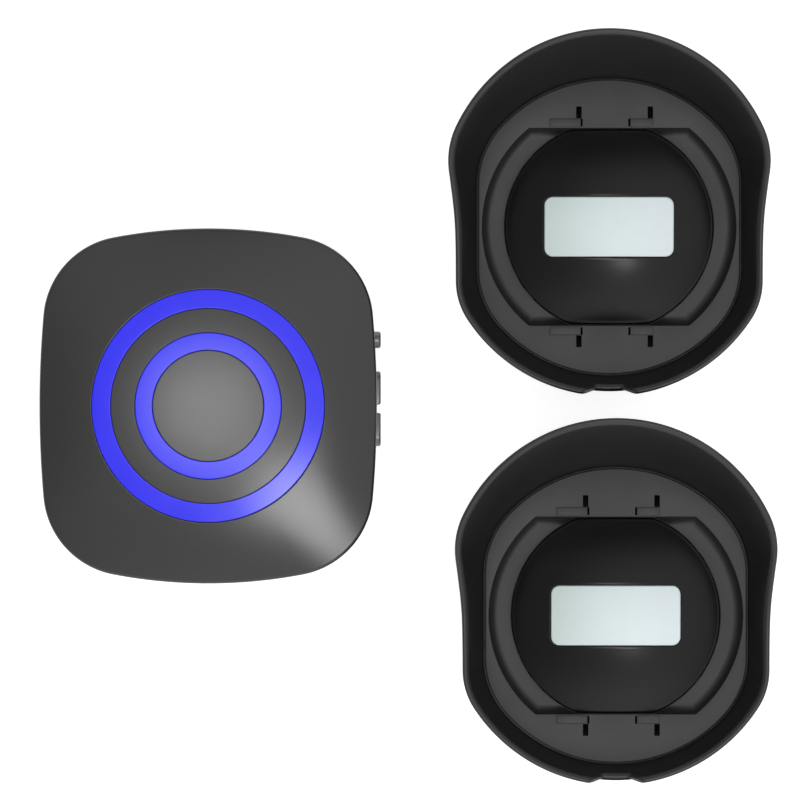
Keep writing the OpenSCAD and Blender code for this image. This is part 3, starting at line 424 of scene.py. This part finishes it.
def sensor_piece(number, name, shape, slot, stands_for, crease):
    """A piece of a sensor, which stands for the named nodes of that sensor."""
    nodes = [f"sensor_{number}_{node}" for node in stands_for]
    piece(f"sensor_{number}_{name}", *shape, slot, f"sensor_{number}", nodes, SENSOR_AT[number], crease)


# Meshes and outlines

def skin(rings, close_rings=False, capped=False):
    """Faces between rings of equally many points; caps fill the first and the last ring."""
    count, n = len(rings), len(rings[0])
    points = [tuple(p) for ring in rings for p in ring]
    faces = []
    for j in range(count if close_rings else count - 1):
        a, b = j * n, (j + 1) % count * n
        faces += [(a + i, a + (i + 1) % n, b + (i + 1) % n, b + i) for i in range(n)]
    if capped:
        faces += [list(range(n)), list(range((count - 1) * n, count * n))]
    return points, faces


def joined(*parts):
    """Several lists of points and faces as one."""
    points, faces = [], []
    for some_points, some_faces in parts:
        faces += [[len(points) + i for i in f] for f in some_faces]
        points += some_points
    return points, faces


def revolved(profile, steps=224):
    """A closed profile of radius and height, turned round the upright axis."""
    turn = np.linspace(0, 2 * math.pi, steps, endpoint=False)
    rings = [[(r * math.cos(a), r * math.sin(a), z) for a in turn] for r, z in profile]
    return skin(rings, close_rings=True)


def arc(centre, r, a0, a1, steps):
    """Stations of an arc: points of an outline with their outward normals."""
    a = np.radians(np.linspace(a0, a1, steps, endpoint=False))
    normal = np.stack([np.cos(a), np.sin(a)], 1)
    return np.concatenate([np.asarray(centre) + r * normal, normal], 1)


def line(p0, p1, heading, steps):
    """Stations of a straight run that faces a heading."""
    t = np.linspace(0, 1, steps, endpoint=False)[:, None]
    points = np.asarray(p0) + (np.asarray(p1) - np.asarray(p0)) * t
    a = math.radians(heading)
    return np.concatenate([points, np.tile([math.cos(a), math.sin(a)], (steps, 1))], 1)


def out_by(stations, d):
    """The outline's points, moved outwards by d."""
    d = np.broadcast_to(np.asarray(d, float), len(stations))
    return stations[:, :2] + stations[:, 2:] * d[:, None]


def ring_at(stations, d, z):
    """A ring of points at a height, outside the outline by d."""
    xy = out_by(stations, d)
    return np.column_stack([xy, np.broadcast_to(np.asarray(z, float), len(xy))])


def rounded_box(x0, x1, y0, y1, r, steps):
    """Stations round a rectangle with rounded corners."""
    corners = [(x1 - r, y1 - r), (x0 + r, y1 - r), (x0 + r, y0 + r), (x1 - r, y0 + r)]
    turns = [(corner, 90 * k) for k, corner in enumerate(corners)]
    return np.concatenate([arc(corner, r, turn, turn + CORNER_TURN, steps) for corner, turn in turns])


def even(stations, count):
    """The same closed outline with evenly spaced stations."""
    loop = np.vstack([stations, stations[:1]])
    along = np.concatenate([[0], np.cumsum(np.linalg.norm(np.diff(loop[:, :2], axis=0), axis=1))])
    want = np.linspace(0, along[-1], count, endpoint=False)
    made = np.stack([np.interp(want, along, loop[:, k]) for k in range(4)], 1)
    made[:, 2:] /= np.linalg.norm(made[:, 2:], axis=1)[:, None]
    return made


def filled(outer, holes, z):
    """A level face inside an outline and round its holes."""
    loops = [np.asarray(loop)[:, :2] for loop in [outer, *holes]]
    points = [Vector(p) for loop in loops for p in loop]
    rings, first = [], 0
    for loop in loops:
        rings.append(list(range(first, first + len(loop))))
        first += len(loop)
    inside_with_holes, weld = 2, 1e-5
    found = delaunay_2d_cdt(points, [], rings, inside_with_holes, weld)
    return [(p.x, p.y, z) for p in found[0]], [list(f) for f in found[2]]


def quarter(steps=5):
    """Shares of inset and drop along a small edge rounding, from its flat end to its upright end."""
    return [(1 - math.sin(a), 1 - math.cos(a)) for a in np.linspace(0, math.pi / 2, steps + 1)]


# The receiver's pieces

def circles_meet(c1, r1, c2, r2):
    """Where two circles cross, to the left of the way from the first to the second."""
    c1, c2 = np.asarray(c1, float), np.asarray(c2, float)
    d = np.linalg.norm(c2 - c1)
    u = (c2 - c1) / d
    along = (r1 * r1 - r2 * r2 + d * d) / (2 * d)
    return c1 + along * u + math.sqrt(r1 * r1 - along * along) * np.array([-u[1], u[0]])


def receiver_outline(side_steps=36, corner_steps=48):
    """The receiver's outline: slow arcs on the four sides, joined by tangent corner arcs."""
    side, end = np.array([RECEIVER_W / 2 - SIDE_ARC_R, 0]), np.array([0, RECEIVER_H / 2 - END_ARC_R])
    corner = circles_meet(side, SIDE_ARC_R - CORNER_R, end, END_ARC_R - CORNER_R)
    side_turn = math.degrees(math.atan2(corner[1], corner[0] - side[0]))
    end_turn = math.degrees(math.atan2(corner[1] - end[1], corner[0]))
    flip_x, flip_y = corner * [-1, 1], corner * [1, -1]
    return np.concatenate([
        arc(side, SIDE_ARC_R, -side_turn, side_turn, side_steps),
        arc(corner, CORNER_R, side_turn, end_turn, corner_steps),
        arc(end, END_ARC_R, end_turn, 180 - end_turn, side_steps),
        arc(flip_x, CORNER_R, 180 - end_turn, 180 - side_turn, corner_steps),
        arc(-side, SIDE_ARC_R, 180 - side_turn, 180 + side_turn, side_steps),
        arc(-corner, CORNER_R, 180 + side_turn, 180 + end_turn, corner_steps),
        arc(-end, END_ARC_R, 180 + end_turn, 360 - end_turn, side_steps),
        arc(flip_y, CORNER_R, 360 - end_turn, 360 - side_turn, corner_steps),
    ])


def ball_z(r):
    """Height of the face's shallow ball at a distance from its middle."""
    return FACE_Z - FACE_BALL_R + np.sqrt(FACE_BALL_R**2 - np.asarray(r, float) ** 2)


def front_shell():
    """The upper case: an upright wall, a small edge rounding and a slightly crowned face."""
    outline = receiver_outline()
    edge = out_by(outline, -FACE_EDGE_R)
    edge_r = np.linalg.norm(edge, axis=1)
    edge_z = RING_EDGE_Z - FACE_DROP
    heading = edge / edge_r[:, None]
    span, start = edge_r - CROWN_FOOT_R, CROWN_STEEPER * CROWN_FOOT_R / FACE_BALL_R
    bend = (FACE_DROP - start * span) / span**2
    tilt = np.arctan(start + 2 * bend * span)

    def face_ring(r, drop=0.0):
        z = RING_EDGE_Z - start * (r - CROWN_FOOT_R) - bend * (r - CROWN_FOOT_R) ** 2
        return np.column_stack([heading * np.broadcast_to(r, len(edge_r))[:, None], z - drop])

    hole_r, soft, low_soft = OUTER_RING_R + TRIM_GAP, 0.15, 0.3
    low = SPLIT_Z + SPLIT_GAP
    rings = [ring_at(outline, -CASE_WALL, low), ring_at(outline, -low_soft, low)]
    rings += [ring_at(outline, -low_soft * inset, low + low_soft * rise) for inset, rise in quarter()[1:]]
    for t in np.linspace(0, 1, 11):
        a = t * (math.pi / 2 - tilt)
        z = edge_z - FACE_EDGE_R * (1 / np.cos(tilt) - np.sin(a))
        rings.append(ring_at(outline, -FACE_EDGE_R * (1 - np.cos(a)), z))
    inwards = [*np.linspace(0, 0.99, 25), 0.995, 1.0]
    rings += [face_ring(edge_r + (hole_r + soft - edge_r) * t) for t in inwards]
    rings += [face_ring(hole_r + soft * inset, soft * drop) for inset, drop in quarter(4)[1:]]
    rings.append(np.column_stack([heading * hole_r, np.full(len(heading), CEILING_Z)]))
    rings.append(ring_at(outline, -CASE_WALL, edge_z - FACE_WALL))
    shape = skin(rings, close_rings=True)
    shell = receiver_piece("receiver_front", shape, "case_plastic", ["receiver_front_shell"])
    through = [(25.0, 0.0), (45.0, 0.0)]
    for stations in button_outlines():
        opening = prism_x(stations, FIT_GAP, through)
        cutter = piece("cutter", *opening, "case_plastic", None, (), RECEIVER_AT)
        shell.data = cut(shell, cutter)
    dress(shell, "case_plastic", None, (), crease=30.0)


def cut(made, cutter):
    """The mesh that is left when the cutter's volume is taken away; the cutter is removed."""
    step = made.modifiers.new("cut", "BOOLEAN")
    step.operation, step.solver, step.object = "DIFFERENCE", "EXACT", cutter
    bpy.context.view_layer.update()
    left = bpy.data.meshes.new_from_object(made.evaluated_get(bpy.context.evaluated_depsgraph_get()))
    made.modifiers.remove(step)
    bpy.data.objects.remove(cutter)
    return left


def button_outlines():
    """Outlines of the three buttons, drawn in Y and Z."""
    r, soft = BUTTON_W / 2, 0.35
    made = [arc((PAIR_Y, BUTTON_Z), PAIR_R, 0, 360, 56)]
    for side, y in zip((1, -1), LONG_BUTTON_Y):
        gap_end, bend = y - side * BUTTON_LEN / 2, y + side * (BUTTON_LEN / 2 - r)
        turn = 0 if side > 0 else 180
        y_soft, z_soft = gap_end + side * soft, side * (r - soft)
        made.append(np.concatenate([
            arc((bend, BUTTON_Z), r, turn - 90, turn + CORNER_TURN, 32),
            arc((y_soft, BUTTON_Z + z_soft), soft, turn + 90, turn + 180, 7),
            arc((y_soft, BUTTON_Z - z_soft), soft, turn + 180, turn + 180 + CORNER_TURN, 7),
        ]))
    return made


def prism_x(stations, grow, levels):
    """A solid along X through outlines in Y and Z; each level is a place along X and an inset."""
    rings = []
    for x, inset in levels:
        yz = out_by(stations, grow - inset)
        rings.append(np.column_stack([np.full(len(yz), x), yz]))
    return skin(rings, capped=True)


def buttons():
    """The round button and the two long ones, with rounded faces."""
    soft = 0.45
    levels = [(BUTTON_ROOT_X, 0.0)]
    levels += [(BUTTON_FACE_X - soft * drop, soft * inset) for inset, drop in quarter(6)[::-1]]
    for name, stations in zip(("pair", "volume", "melody"), button_outlines()):
        body = f"{name}_button"
        key = prism_x(stations, 0.0, levels)
        piece(f"{name}_key", *key, "button_plastic", body, [body], RECEIVER_AT, crease=40.0)


def face_ring_profile(r_in, r_out, soft=0.1):
    """A flush ring on the shallow ball of the face: up the inside, over the top and down the outside."""
    spots = [r_in + soft, *np.linspace(r_in + 1.5 * soft, r_out - 1.5 * soft, 9), r_out - soft]
    top = [(r, float(ball_z(r))) for r in spots]
    z_in, z_out = top[0][1], top[-1][1]
    inner = [(r_in + soft * inset, z_in - soft * drop) for inset, drop in quarter(4)[:0:-1]]
    outer = [(r_out - soft * inset, z_out - soft * drop) for inset, drop in quarter(4)[1:]]
    return [(r_in, CEILING_Z)] + inner + top + outer + [(r_out, CEILING_Z)]


def receiver_face():
    """The lit rings, the dark well under them, the band between them and the disc in the middle."""
    guide = joined(
        revolved(face_ring_profile(OUTER_RING_R - OUTER_RING_W, OUTER_RING_R)),
        revolved(face_ring_profile(INNER_RING_R - INNER_RING_W, INNER_RING_R)),
    )
    receiver_piece("lit_rings", guide, "ring_light", ["light_guide"])
    well_r, well_top, well_low, pin_r = OUTER_RING_R + 1.2, CEILING_Z - 0.1, CEILING_Z - 0.4, 0.02
    well = [(pin_r, well_low), (well_r, well_low), (well_r, well_top), (pin_r, well_top)]
    receiver_piece("ring_well", revolved(well), "black_moulding", ())
    band = face_ring_profile(INNER_RING_R + TRIM_GAP, OUTER_RING_R - OUTER_RING_W - TRIM_GAP)
    receiver_piece("face_band", revolved(band), "case_plastic", ["ring_band"])
    disc = face_ring_profile(0.0, INNER_RING_R - INNER_RING_W - TRIM_GAP)
    inner_points, middle_r = 6, 0.004
    disc = [(middle_r, float(ball_z(0.0))), *disc[inner_points:], (middle_r, CEILING_Z)]
    receiver_piece("face_disc", revolved(disc), "case_plastic", ["centre_disc"])


# The sensors' pieces

def plate_outline(corner_r, flat_steps=24, corner_steps=32, round_steps=200):
    """A sensor's outline: a circle with two flat sides and tangent corners."""
    y = math.sqrt((PLATE_R - corner_r) ** 2 - (PLATE_FLAT - corner_r) ** 2)
    corner = np.array([PLATE_FLAT - corner_r, y])
    turn = math.degrees(math.atan2(y, corner[0]))
    half = [
        line((PLATE_FLAT, -y), (PLATE_FLAT, y), 0, flat_steps),
        arc(corner, corner_r, 0, turn, corner_steps),
        arc((0, 0), PLATE_R, turn, 180 - turn, round_steps),
        arc(corner * [-1, 1], corner_r, 180 - turn, 180, corner_steps),
    ]
    half = np.concatenate(half)
    return np.concatenate([half, -half])


def rim_rise(stations):
    """Height of the rim over the plate: level below with the drain notch, then a climb into the visor."""
    up = stations[:, 3]
    reach = PLATE_R + HOOD_OUT + HOOD_LEAN * VISOR_H
    climb = (VISOR_H - RIM_H) / (reach - CLIMB_Y)
    over = climb * (stations[:, 1] + up * HOOD_OUT - CLIMB_Y) + RIM_H * climb * up * HOOD_LEAN
    over = over / (1 - climb * up * HOOD_LEAN)
    rise = RIM_H + (over + np.sqrt(over * over + 4 * CLIMB_SOFT**2)) / 2
    across = np.abs(out_by(stations, HOOD_OUT + HOOD_LEAN * RIM_H)[:, 0])
    ramp = np.clip((across - NOTCH_W / 2) / NOTCH_EASE + NOTCH_EARLY, 0, 1)
    notch = RIM_H - NOTCH_D * (1 - ramp * ramp * (3 - 2 * ramp))
    return np.where(stations[:, 1] < 0, np.minimum(rise, notch + (rise - RIM_H)), rise)


def hood(number):
    """The hood as one closed skin: up the outside, over the lip, down the inside and back to the rear."""
    face, stations, rear = (plate_outline(r) for r in (FACE_CORNER_R, RIM_CORNER_R, REAR_CORNER_R))
    top = rim_rise(stations) - LIP_ROUND
    slimmer, rear_soft = 0.06, 0.4
    out, rear_out = HOOD_OUT - slimmer, FIT_GAP + HOOD_REAR_WALL
    lip_mid = FIT_GAP + HOOD_WALL / 2 + HOOD_LEAN * top
    rings = []
    for inset, rise in quarter(4):
        rings.append(ring_at(rear, rear_out - rear_soft * inset, REAR_Z + rear_soft * rise))
    for t in np.linspace(0, 1, 14):
        lean, rise = HOOD_LEAN * HOOD_BLEND * t * t, HOOD_BLEND * (2 * t - 1)
        rings.append(ring_at(stations, out + lean, PLATE_Z + rise))
    span = np.maximum(top - HOOD_BLEND, 0)
    for t in np.linspace(0, 1, 9)[1:-1]:
        rise = HOOD_BLEND + span * t
        rings.append(ring_at(stations, out + HOOD_LEAN * rise, PLATE_Z + rise))
    for a in np.radians(np.linspace(0, 180, 17)):
        d = lip_mid + (HOOD_WALL / 2 - slimmer) * math.cos(a) + HOOD_LEAN * LIP_ROUND * math.sin(a)
        rings.append(ring_at(stations, d, PLATE_Z + top + LIP_ROUND * math.sin(a)))
    for t in np.linspace(1, 0, 14)[1:]:
        blend = face + (stations - face) * t
        rings.append(ring_at(blend, FIT_GAP + HOOD_LEAN * top * t, PLATE_Z + top * t))
    rings += [ring_at(face, FIT_GAP, SEAT_Z), ring_at(rear, -LEDGE_W, SEAT_Z)]
    rings += [ring_at(rear, d, z) for d, z in ((-LEDGE_W, LEDGE_Z), (FIT_GAP, LEDGE_Z), (FIT_GAP, REAR_Z))]
    shape = skin(rings, close_rings=True)
    sensor_piece(number, "hood_shell", shape, "housing_plastic", ["hood"], crease=38.0)


def barrel_ring(inset, z):
    """The plate's opening at a level: a circle with two flats, upright where the dome comes through."""
    r, flat = BARREL_R - inset, BARREL_FLAT - inset
    corner, room_turn = math.asin(flat / r), math.asin(DOME_ROOM_FLAT / DOME_ROOM_R)
    ends = [0, corner, min(math.asin(flat / DOME_ROOM_R), room_turn), room_turn, math.pi / 2]
    runs = zip(ends, ends[1:], (36, 14, 8, 12))
    turn = np.concatenate([[0]] + [np.linspace(a, b, steps + 1)[1:] for a, b, steps in runs])
    rise = np.maximum(np.sin(turn), 1e-9)
    reach = np.maximum(np.minimum(r, flat / rise), np.minimum(DOME_ROOM_R, DOME_ROOM_FLAT / rise))
    side = np.column_stack([reach * np.cos(turn), reach * rise])
    half = np.concatenate([side, (side * [-1, 1])[::-1][1:-1]])
    loop = np.concatenate([half, -half])
    return np.column_stack([loop, np.full(len(loop), z)])


def clip_openings():
    """Outlines of the four clip slots and of the narrow slits beside the tongues."""
    made, slot_corner, slit_corner = [], 0.12, 0.08
    for x in CLIP_SLOTS:
        for side in (1, -1):
            y0, y1 = sorted((side * CLIP_SLOT_Y, side * (CLIP_SLOT_Y + CLIP_SLOT_H)))
            made.append(rounded_box(x - CLIP_SLOT_W / 2, x + CLIP_SLOT_W / 2, y0, y1, slot_corner, 4))
    for x in (CLIP_TONGUES[0][1], CLIP_TONGUES[1][0] - SLIT_W):
        for side in (1, -1):
            y0, y1 = sorted((side * (TONGUE_Y + TONGUE_SOFT), side * (TONGUE_Y + TONGUE_W)))
            made.append(rounded_box(x, x + SLIT_W, y0, y1, slit_corner, 4))
    return made


def tongues():
    """The four clip tongues, a little proud of the plate."""
    made, top, sunk, corner = [], PLATE_Z + TONGUE_H, 0.2, 0.15
    for x0, x1 in CLIP_TONGUES:
        for side in (1, -1):
            y0, y1 = sorted((side * TONGUE_Y, side * (TONGUE_Y + TONGUE_W)))
            block = rounded_box(x0, x1, y0, y1, corner, 4)
            rings = [ring_at(block, 0, PLATE_Z - sunk)]
            for inset, drop in quarter(3)[::-1]:
                rings.append(ring_at(block, -TONGUE_SOFT * inset, top - TONGUE_SOFT * drop))
            made.append(skin(rings, capped=True))
    return made


def painted_shade_slot_backs(number, slots):
    """Dark sloping sheets in the slots: painted shade where the slots open into deep holes."""
    deep, fall, thick = 1.0, 0.8, 0.1
    made = []
    for slot in slots:
        slope = PLATE_Z - deep - fall * (slot[:, 1] - slot[:, 1].min())
        made.append(skin([ring_at(slot, 0.0, slope), ring_at(slot, 0.0, slope - thick)], capped=True))
    sensor_piece(number, "painted_shade_slot_backs", joined(*made), "housing_plastic", (), crease=32.0)


def face_plate(number):
    """The plate with its opening, slots and tongues, closed below."""
    outer, slots = plate_outline(FACE_CORNER_R, 16, 24, 90), clip_openings()
    soft, hole_soft, slot_soft, gap, low = 0.25, 0.10, 0.06, 0.12, SEAT_Z + 0.03
    holes = [barrel_ring(-hole_soft, PLATE_Z)] + [out_by(slot, slot_soft) for slot in slots]
    parts = [filled(out_by(outer, -gap - soft), holes, PLATE_Z)]
    side = [ring_at(outer, -gap - soft * inset, PLATE_Z - soft * drop) for inset, drop in quarter(4)]
    parts.append(skin(side + [ring_at(outer, -gap, low)]))
    under = [barrel_ring(BARREL_TAPER, low)] + [out_by(slot, 0.0) for slot in slots]
    parts.append(filled(out_by(outer, -gap), under, low))
    wall = [barrel_ring(-hole_soft * inset, PLATE_Z - hole_soft * drop) for inset, drop in quarter(4)]
    for a in np.radians(np.linspace(0, 90, 13))[1:]:
        fall = (PLATE_Z - hole_soft - low) * math.sin(a)
        wall.append(barrel_ring(BARREL_TAPER * (1 - math.cos(a)), PLATE_Z - hole_soft - fall))
    parts.append(skin(wall))
    levels = ((slot_soft, PLATE_Z), (0.0, PLATE_Z - slot_soft), (0.0, low))
    for slot in slots:
        parts.append(skin([ring_at(slot, d, z) for d, z in levels]))
    # Dark sheets in the clip slots stand in as painted shade for the depth of the holes
    painted_shade_slot_backs(number, slots)
    sensor_piece(number, "face", joined(*parts, *tongues()), "face_plastic", ["face_plate"], crease=30.0)


def dome_z(xy):
    """Height of the dome over points of the plan."""
    r2 = (np.asarray(xy) ** 2).sum(1)
    return DOME_BALL_Z + np.sqrt(DOME_BALL_R**2 - r2)


def lens_outline(grow, count):
    """The window's outline, a rounded box."""
    w, h, r = LENS_W / 2 + grow, LENS_H / 2 + grow, LENS_CORNER_R + grow
    return even(rounded_box(-w, w, -h, h, r, 10), count)


def dome_edge(angles):
    """The dome's edge: a circle, cut by two flats."""
    heading = np.stack([np.cos(angles), np.sin(angles)], 1)
    r = np.minimum(DOME_R, DOME_FLAT / np.maximum(np.abs(heading[:, 1]), 1e-9))
    return heading * r[:, None], heading


def dome(number):
    """The dark dome: from the window's edge over the ball to the foot."""
    count, soft, edge_soft, window_deep = 220, 0.18, 0.25, 1.3
    window = lens_outline(TRIM_GAP, count)
    inner, away = window[:, :2], window[:, 2:]
    edge, heading = dome_edge(np.arctan2(window[:, 1], window[:, 0]))
    rings = [np.column_stack([inner, dome_z(inner) - window_deep])]
    for inset, drop in quarter(4)[::-1]:
        rings.append(np.column_stack([inner + away * soft * inset, dome_z(inner) - soft * drop]))
    start, end = inner + away * soft, edge - heading * edge_soft
    for t in np.linspace(0, 1, 26)[1:]:
        xy = start + (end - start) * t
        rings.append(np.column_stack([xy, dome_z(xy)]))
    for inset, drop in quarter(4)[1:]:
        rings.append(np.column_stack([edge - heading * edge_soft * inset, dome_z(end) - edge_soft * drop]))
    rings.append(np.column_stack([edge, np.full(count, DOME_FOOT_Z)]))
    shape = skin(rings, close_rings=True)
    sensor_piece(number, "dome_cap", shape, "gloss_dome", ["dome"], crease=45.0)


def lens(number):
    """The white window, on the same ball as the dome."""
    count, soft, deep = 200, 0.3, 1.2
    edge = lens_outline(0.0, count)
    inner = out_by(edge, -soft)
    rings = [np.column_stack([edge[:, :2], dome_z(edge[:, :2]) - deep])]
    for inset, drop in quarter(5)[::-1]:
        rings.append(np.column_stack([out_by(edge, -soft * inset), dome_z(inner) - soft * drop]))
    for t in np.linspace(1, 0.02, 20)[1:]:
        rings.append(np.column_stack([inner * t, dome_z(inner * t)]))
    shape = skin(rings, capped=True)
    sensor_piece(number, "lens_panel", shape, "lens_plastic", ["lens"], crease=40.0)


front_shell()
buttons()
receiver_face()
for number in SENSORS:
    hood(number)
    face_plate(number)
    dome(number)
    lens(number)

# Plain outer pieces keep the shape that the part gives them, and their round walls are shaded smooth
PLAIN = {"receiver_back_shell", "battery_door", "door_feet", "receiver_feet"}
for number in SENSORS:
    PLAIN |= {f"sensor_{number}_{name}" for name in ("bezel", "back_cover", "wall_bracket")}
for row in frame["record"]["subparts"]:
    name, slot = row["node"], row["material_slot"]
    node = frame["nodes"][name]
    if name in PLAIN:
        made = put(name + "_skin", node.data.copy(), slot, node["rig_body"], [name], crease=25.0)
        even_out = made.modifiers.new("even_out", "WEIGHTED_NORMAL")
        even_out.mode, even_out.weight, even_out.keep_sharp = "FACE_AREA", 100, True
    for place in node.material_slots:
        place.material = PAINTS[slot]


def lamp(name, tilt, heading, size, power, distance=1.5):
    """An oval lamp over the receiver, leaning towards a heading; its second size runs along the lean."""
    t, h = math.radians(tilt), math.radians(heading)
    back = Vector((math.sin(t) * math.cos(h), math.sin(t) * math.sin(h), math.cos(t)))
    across = Vector((-math.sin(h), math.cos(h), 0))
    light = bpy.data.lights.new(name, "AREA")
    light.shape, light.size, light.size_y, light.energy = "ELLIPSE", *size, power
    made = bpy.data.objects.new(name, light)
    made.location = RECEIVER_AT + back * distance
    made.rotation_mode = "QUATERNION"
    made.rotation_quaternion = Matrix((across, back.cross(across), back)).transposed().to_quaternion()
    made.visible_camera = False
    bpy.context.scene.collection.objects.link(made)


# Studio: a soft lamp in front, a small one to the lower right, a pale floor and a sky with darker sides
lamp("front_softbox", 0.4, 180.0, (0.325, 0.325), 1.62)
lamp("side_lamp", 14.7, -48.5, (0.21, 0.34), 2.05)

floor_half, floor_z = 2.5, -5e-5
floor_mesh = bpy.data.meshes.new("floor")
corners = [(x * floor_half, y * floor_half, floor_z) for x, y in ((-1, -1), (1, -1), (1, 1), (-1, 1))]
floor_mesh.from_pydata(corners, [], [(0, 1, 2, 3)])
floor_mesh.materials.append(floor_paint())
floor = bpy.data.objects.new("floor", floor_mesh)
bpy.context.scene.collection.objects.link(floor)

world = bpy.data.worlds.new("studio")
bpy.context.scene.world = world
sky = Paint(world)
look = sky.node("ShaderNodeTexCoord", out="Generated")
aside, along, up = (sky.node("ShaderNodeSeparateXYZ", {}, [look], k) for k in range(3))
direct, mirrored = sky.shown()
low_glow = along.ease(-0.35, -0.75) * 0.8
ceiling = aside.ease(-0.6, 0.3, 0.45, 1.10) * along.ease(0.39, 0.62, 1.0, 0.12) + low_glow
walls = along * along * 0.85 + along * 0.12 + 0.42 + along.ease(-0.35, -0.8) * 0.35
light = walls + up.ease(0.45, 0.80) * (ceiling - walls)
shown = direct + mirrored * up.ease(0.15, 0.0)
sky_light = sky.node("ShaderNodeBackground", {}, [sky.mix(shown, light, 1.0), 1.0])
sky.node("ShaderNodeOutputWorld", {}, [sky_light])

camera_data = bpy.data.cameras.new("camera")
camera_data.lens, camera_data.sensor_width = 1500.0, 36.0
camera_data.clip_start, camera_data.clip_end = 0.1, 30.0
camera = bpy.data.objects.new("camera", camera_data)
picture_x, picture_y, picture_z, picture_w = -0.00175, 0.00134, 0.040, 0.16667
distance = picture_w * camera_data.lens / camera_data.sensor_width
camera.location = (picture_x, picture_y, picture_z + distance)
bpy.context.scene.collection.objects.link(camera)
bpy.context.scene.camera = camera
bpy.context.scene.view_settings.view_transform = "Standard"
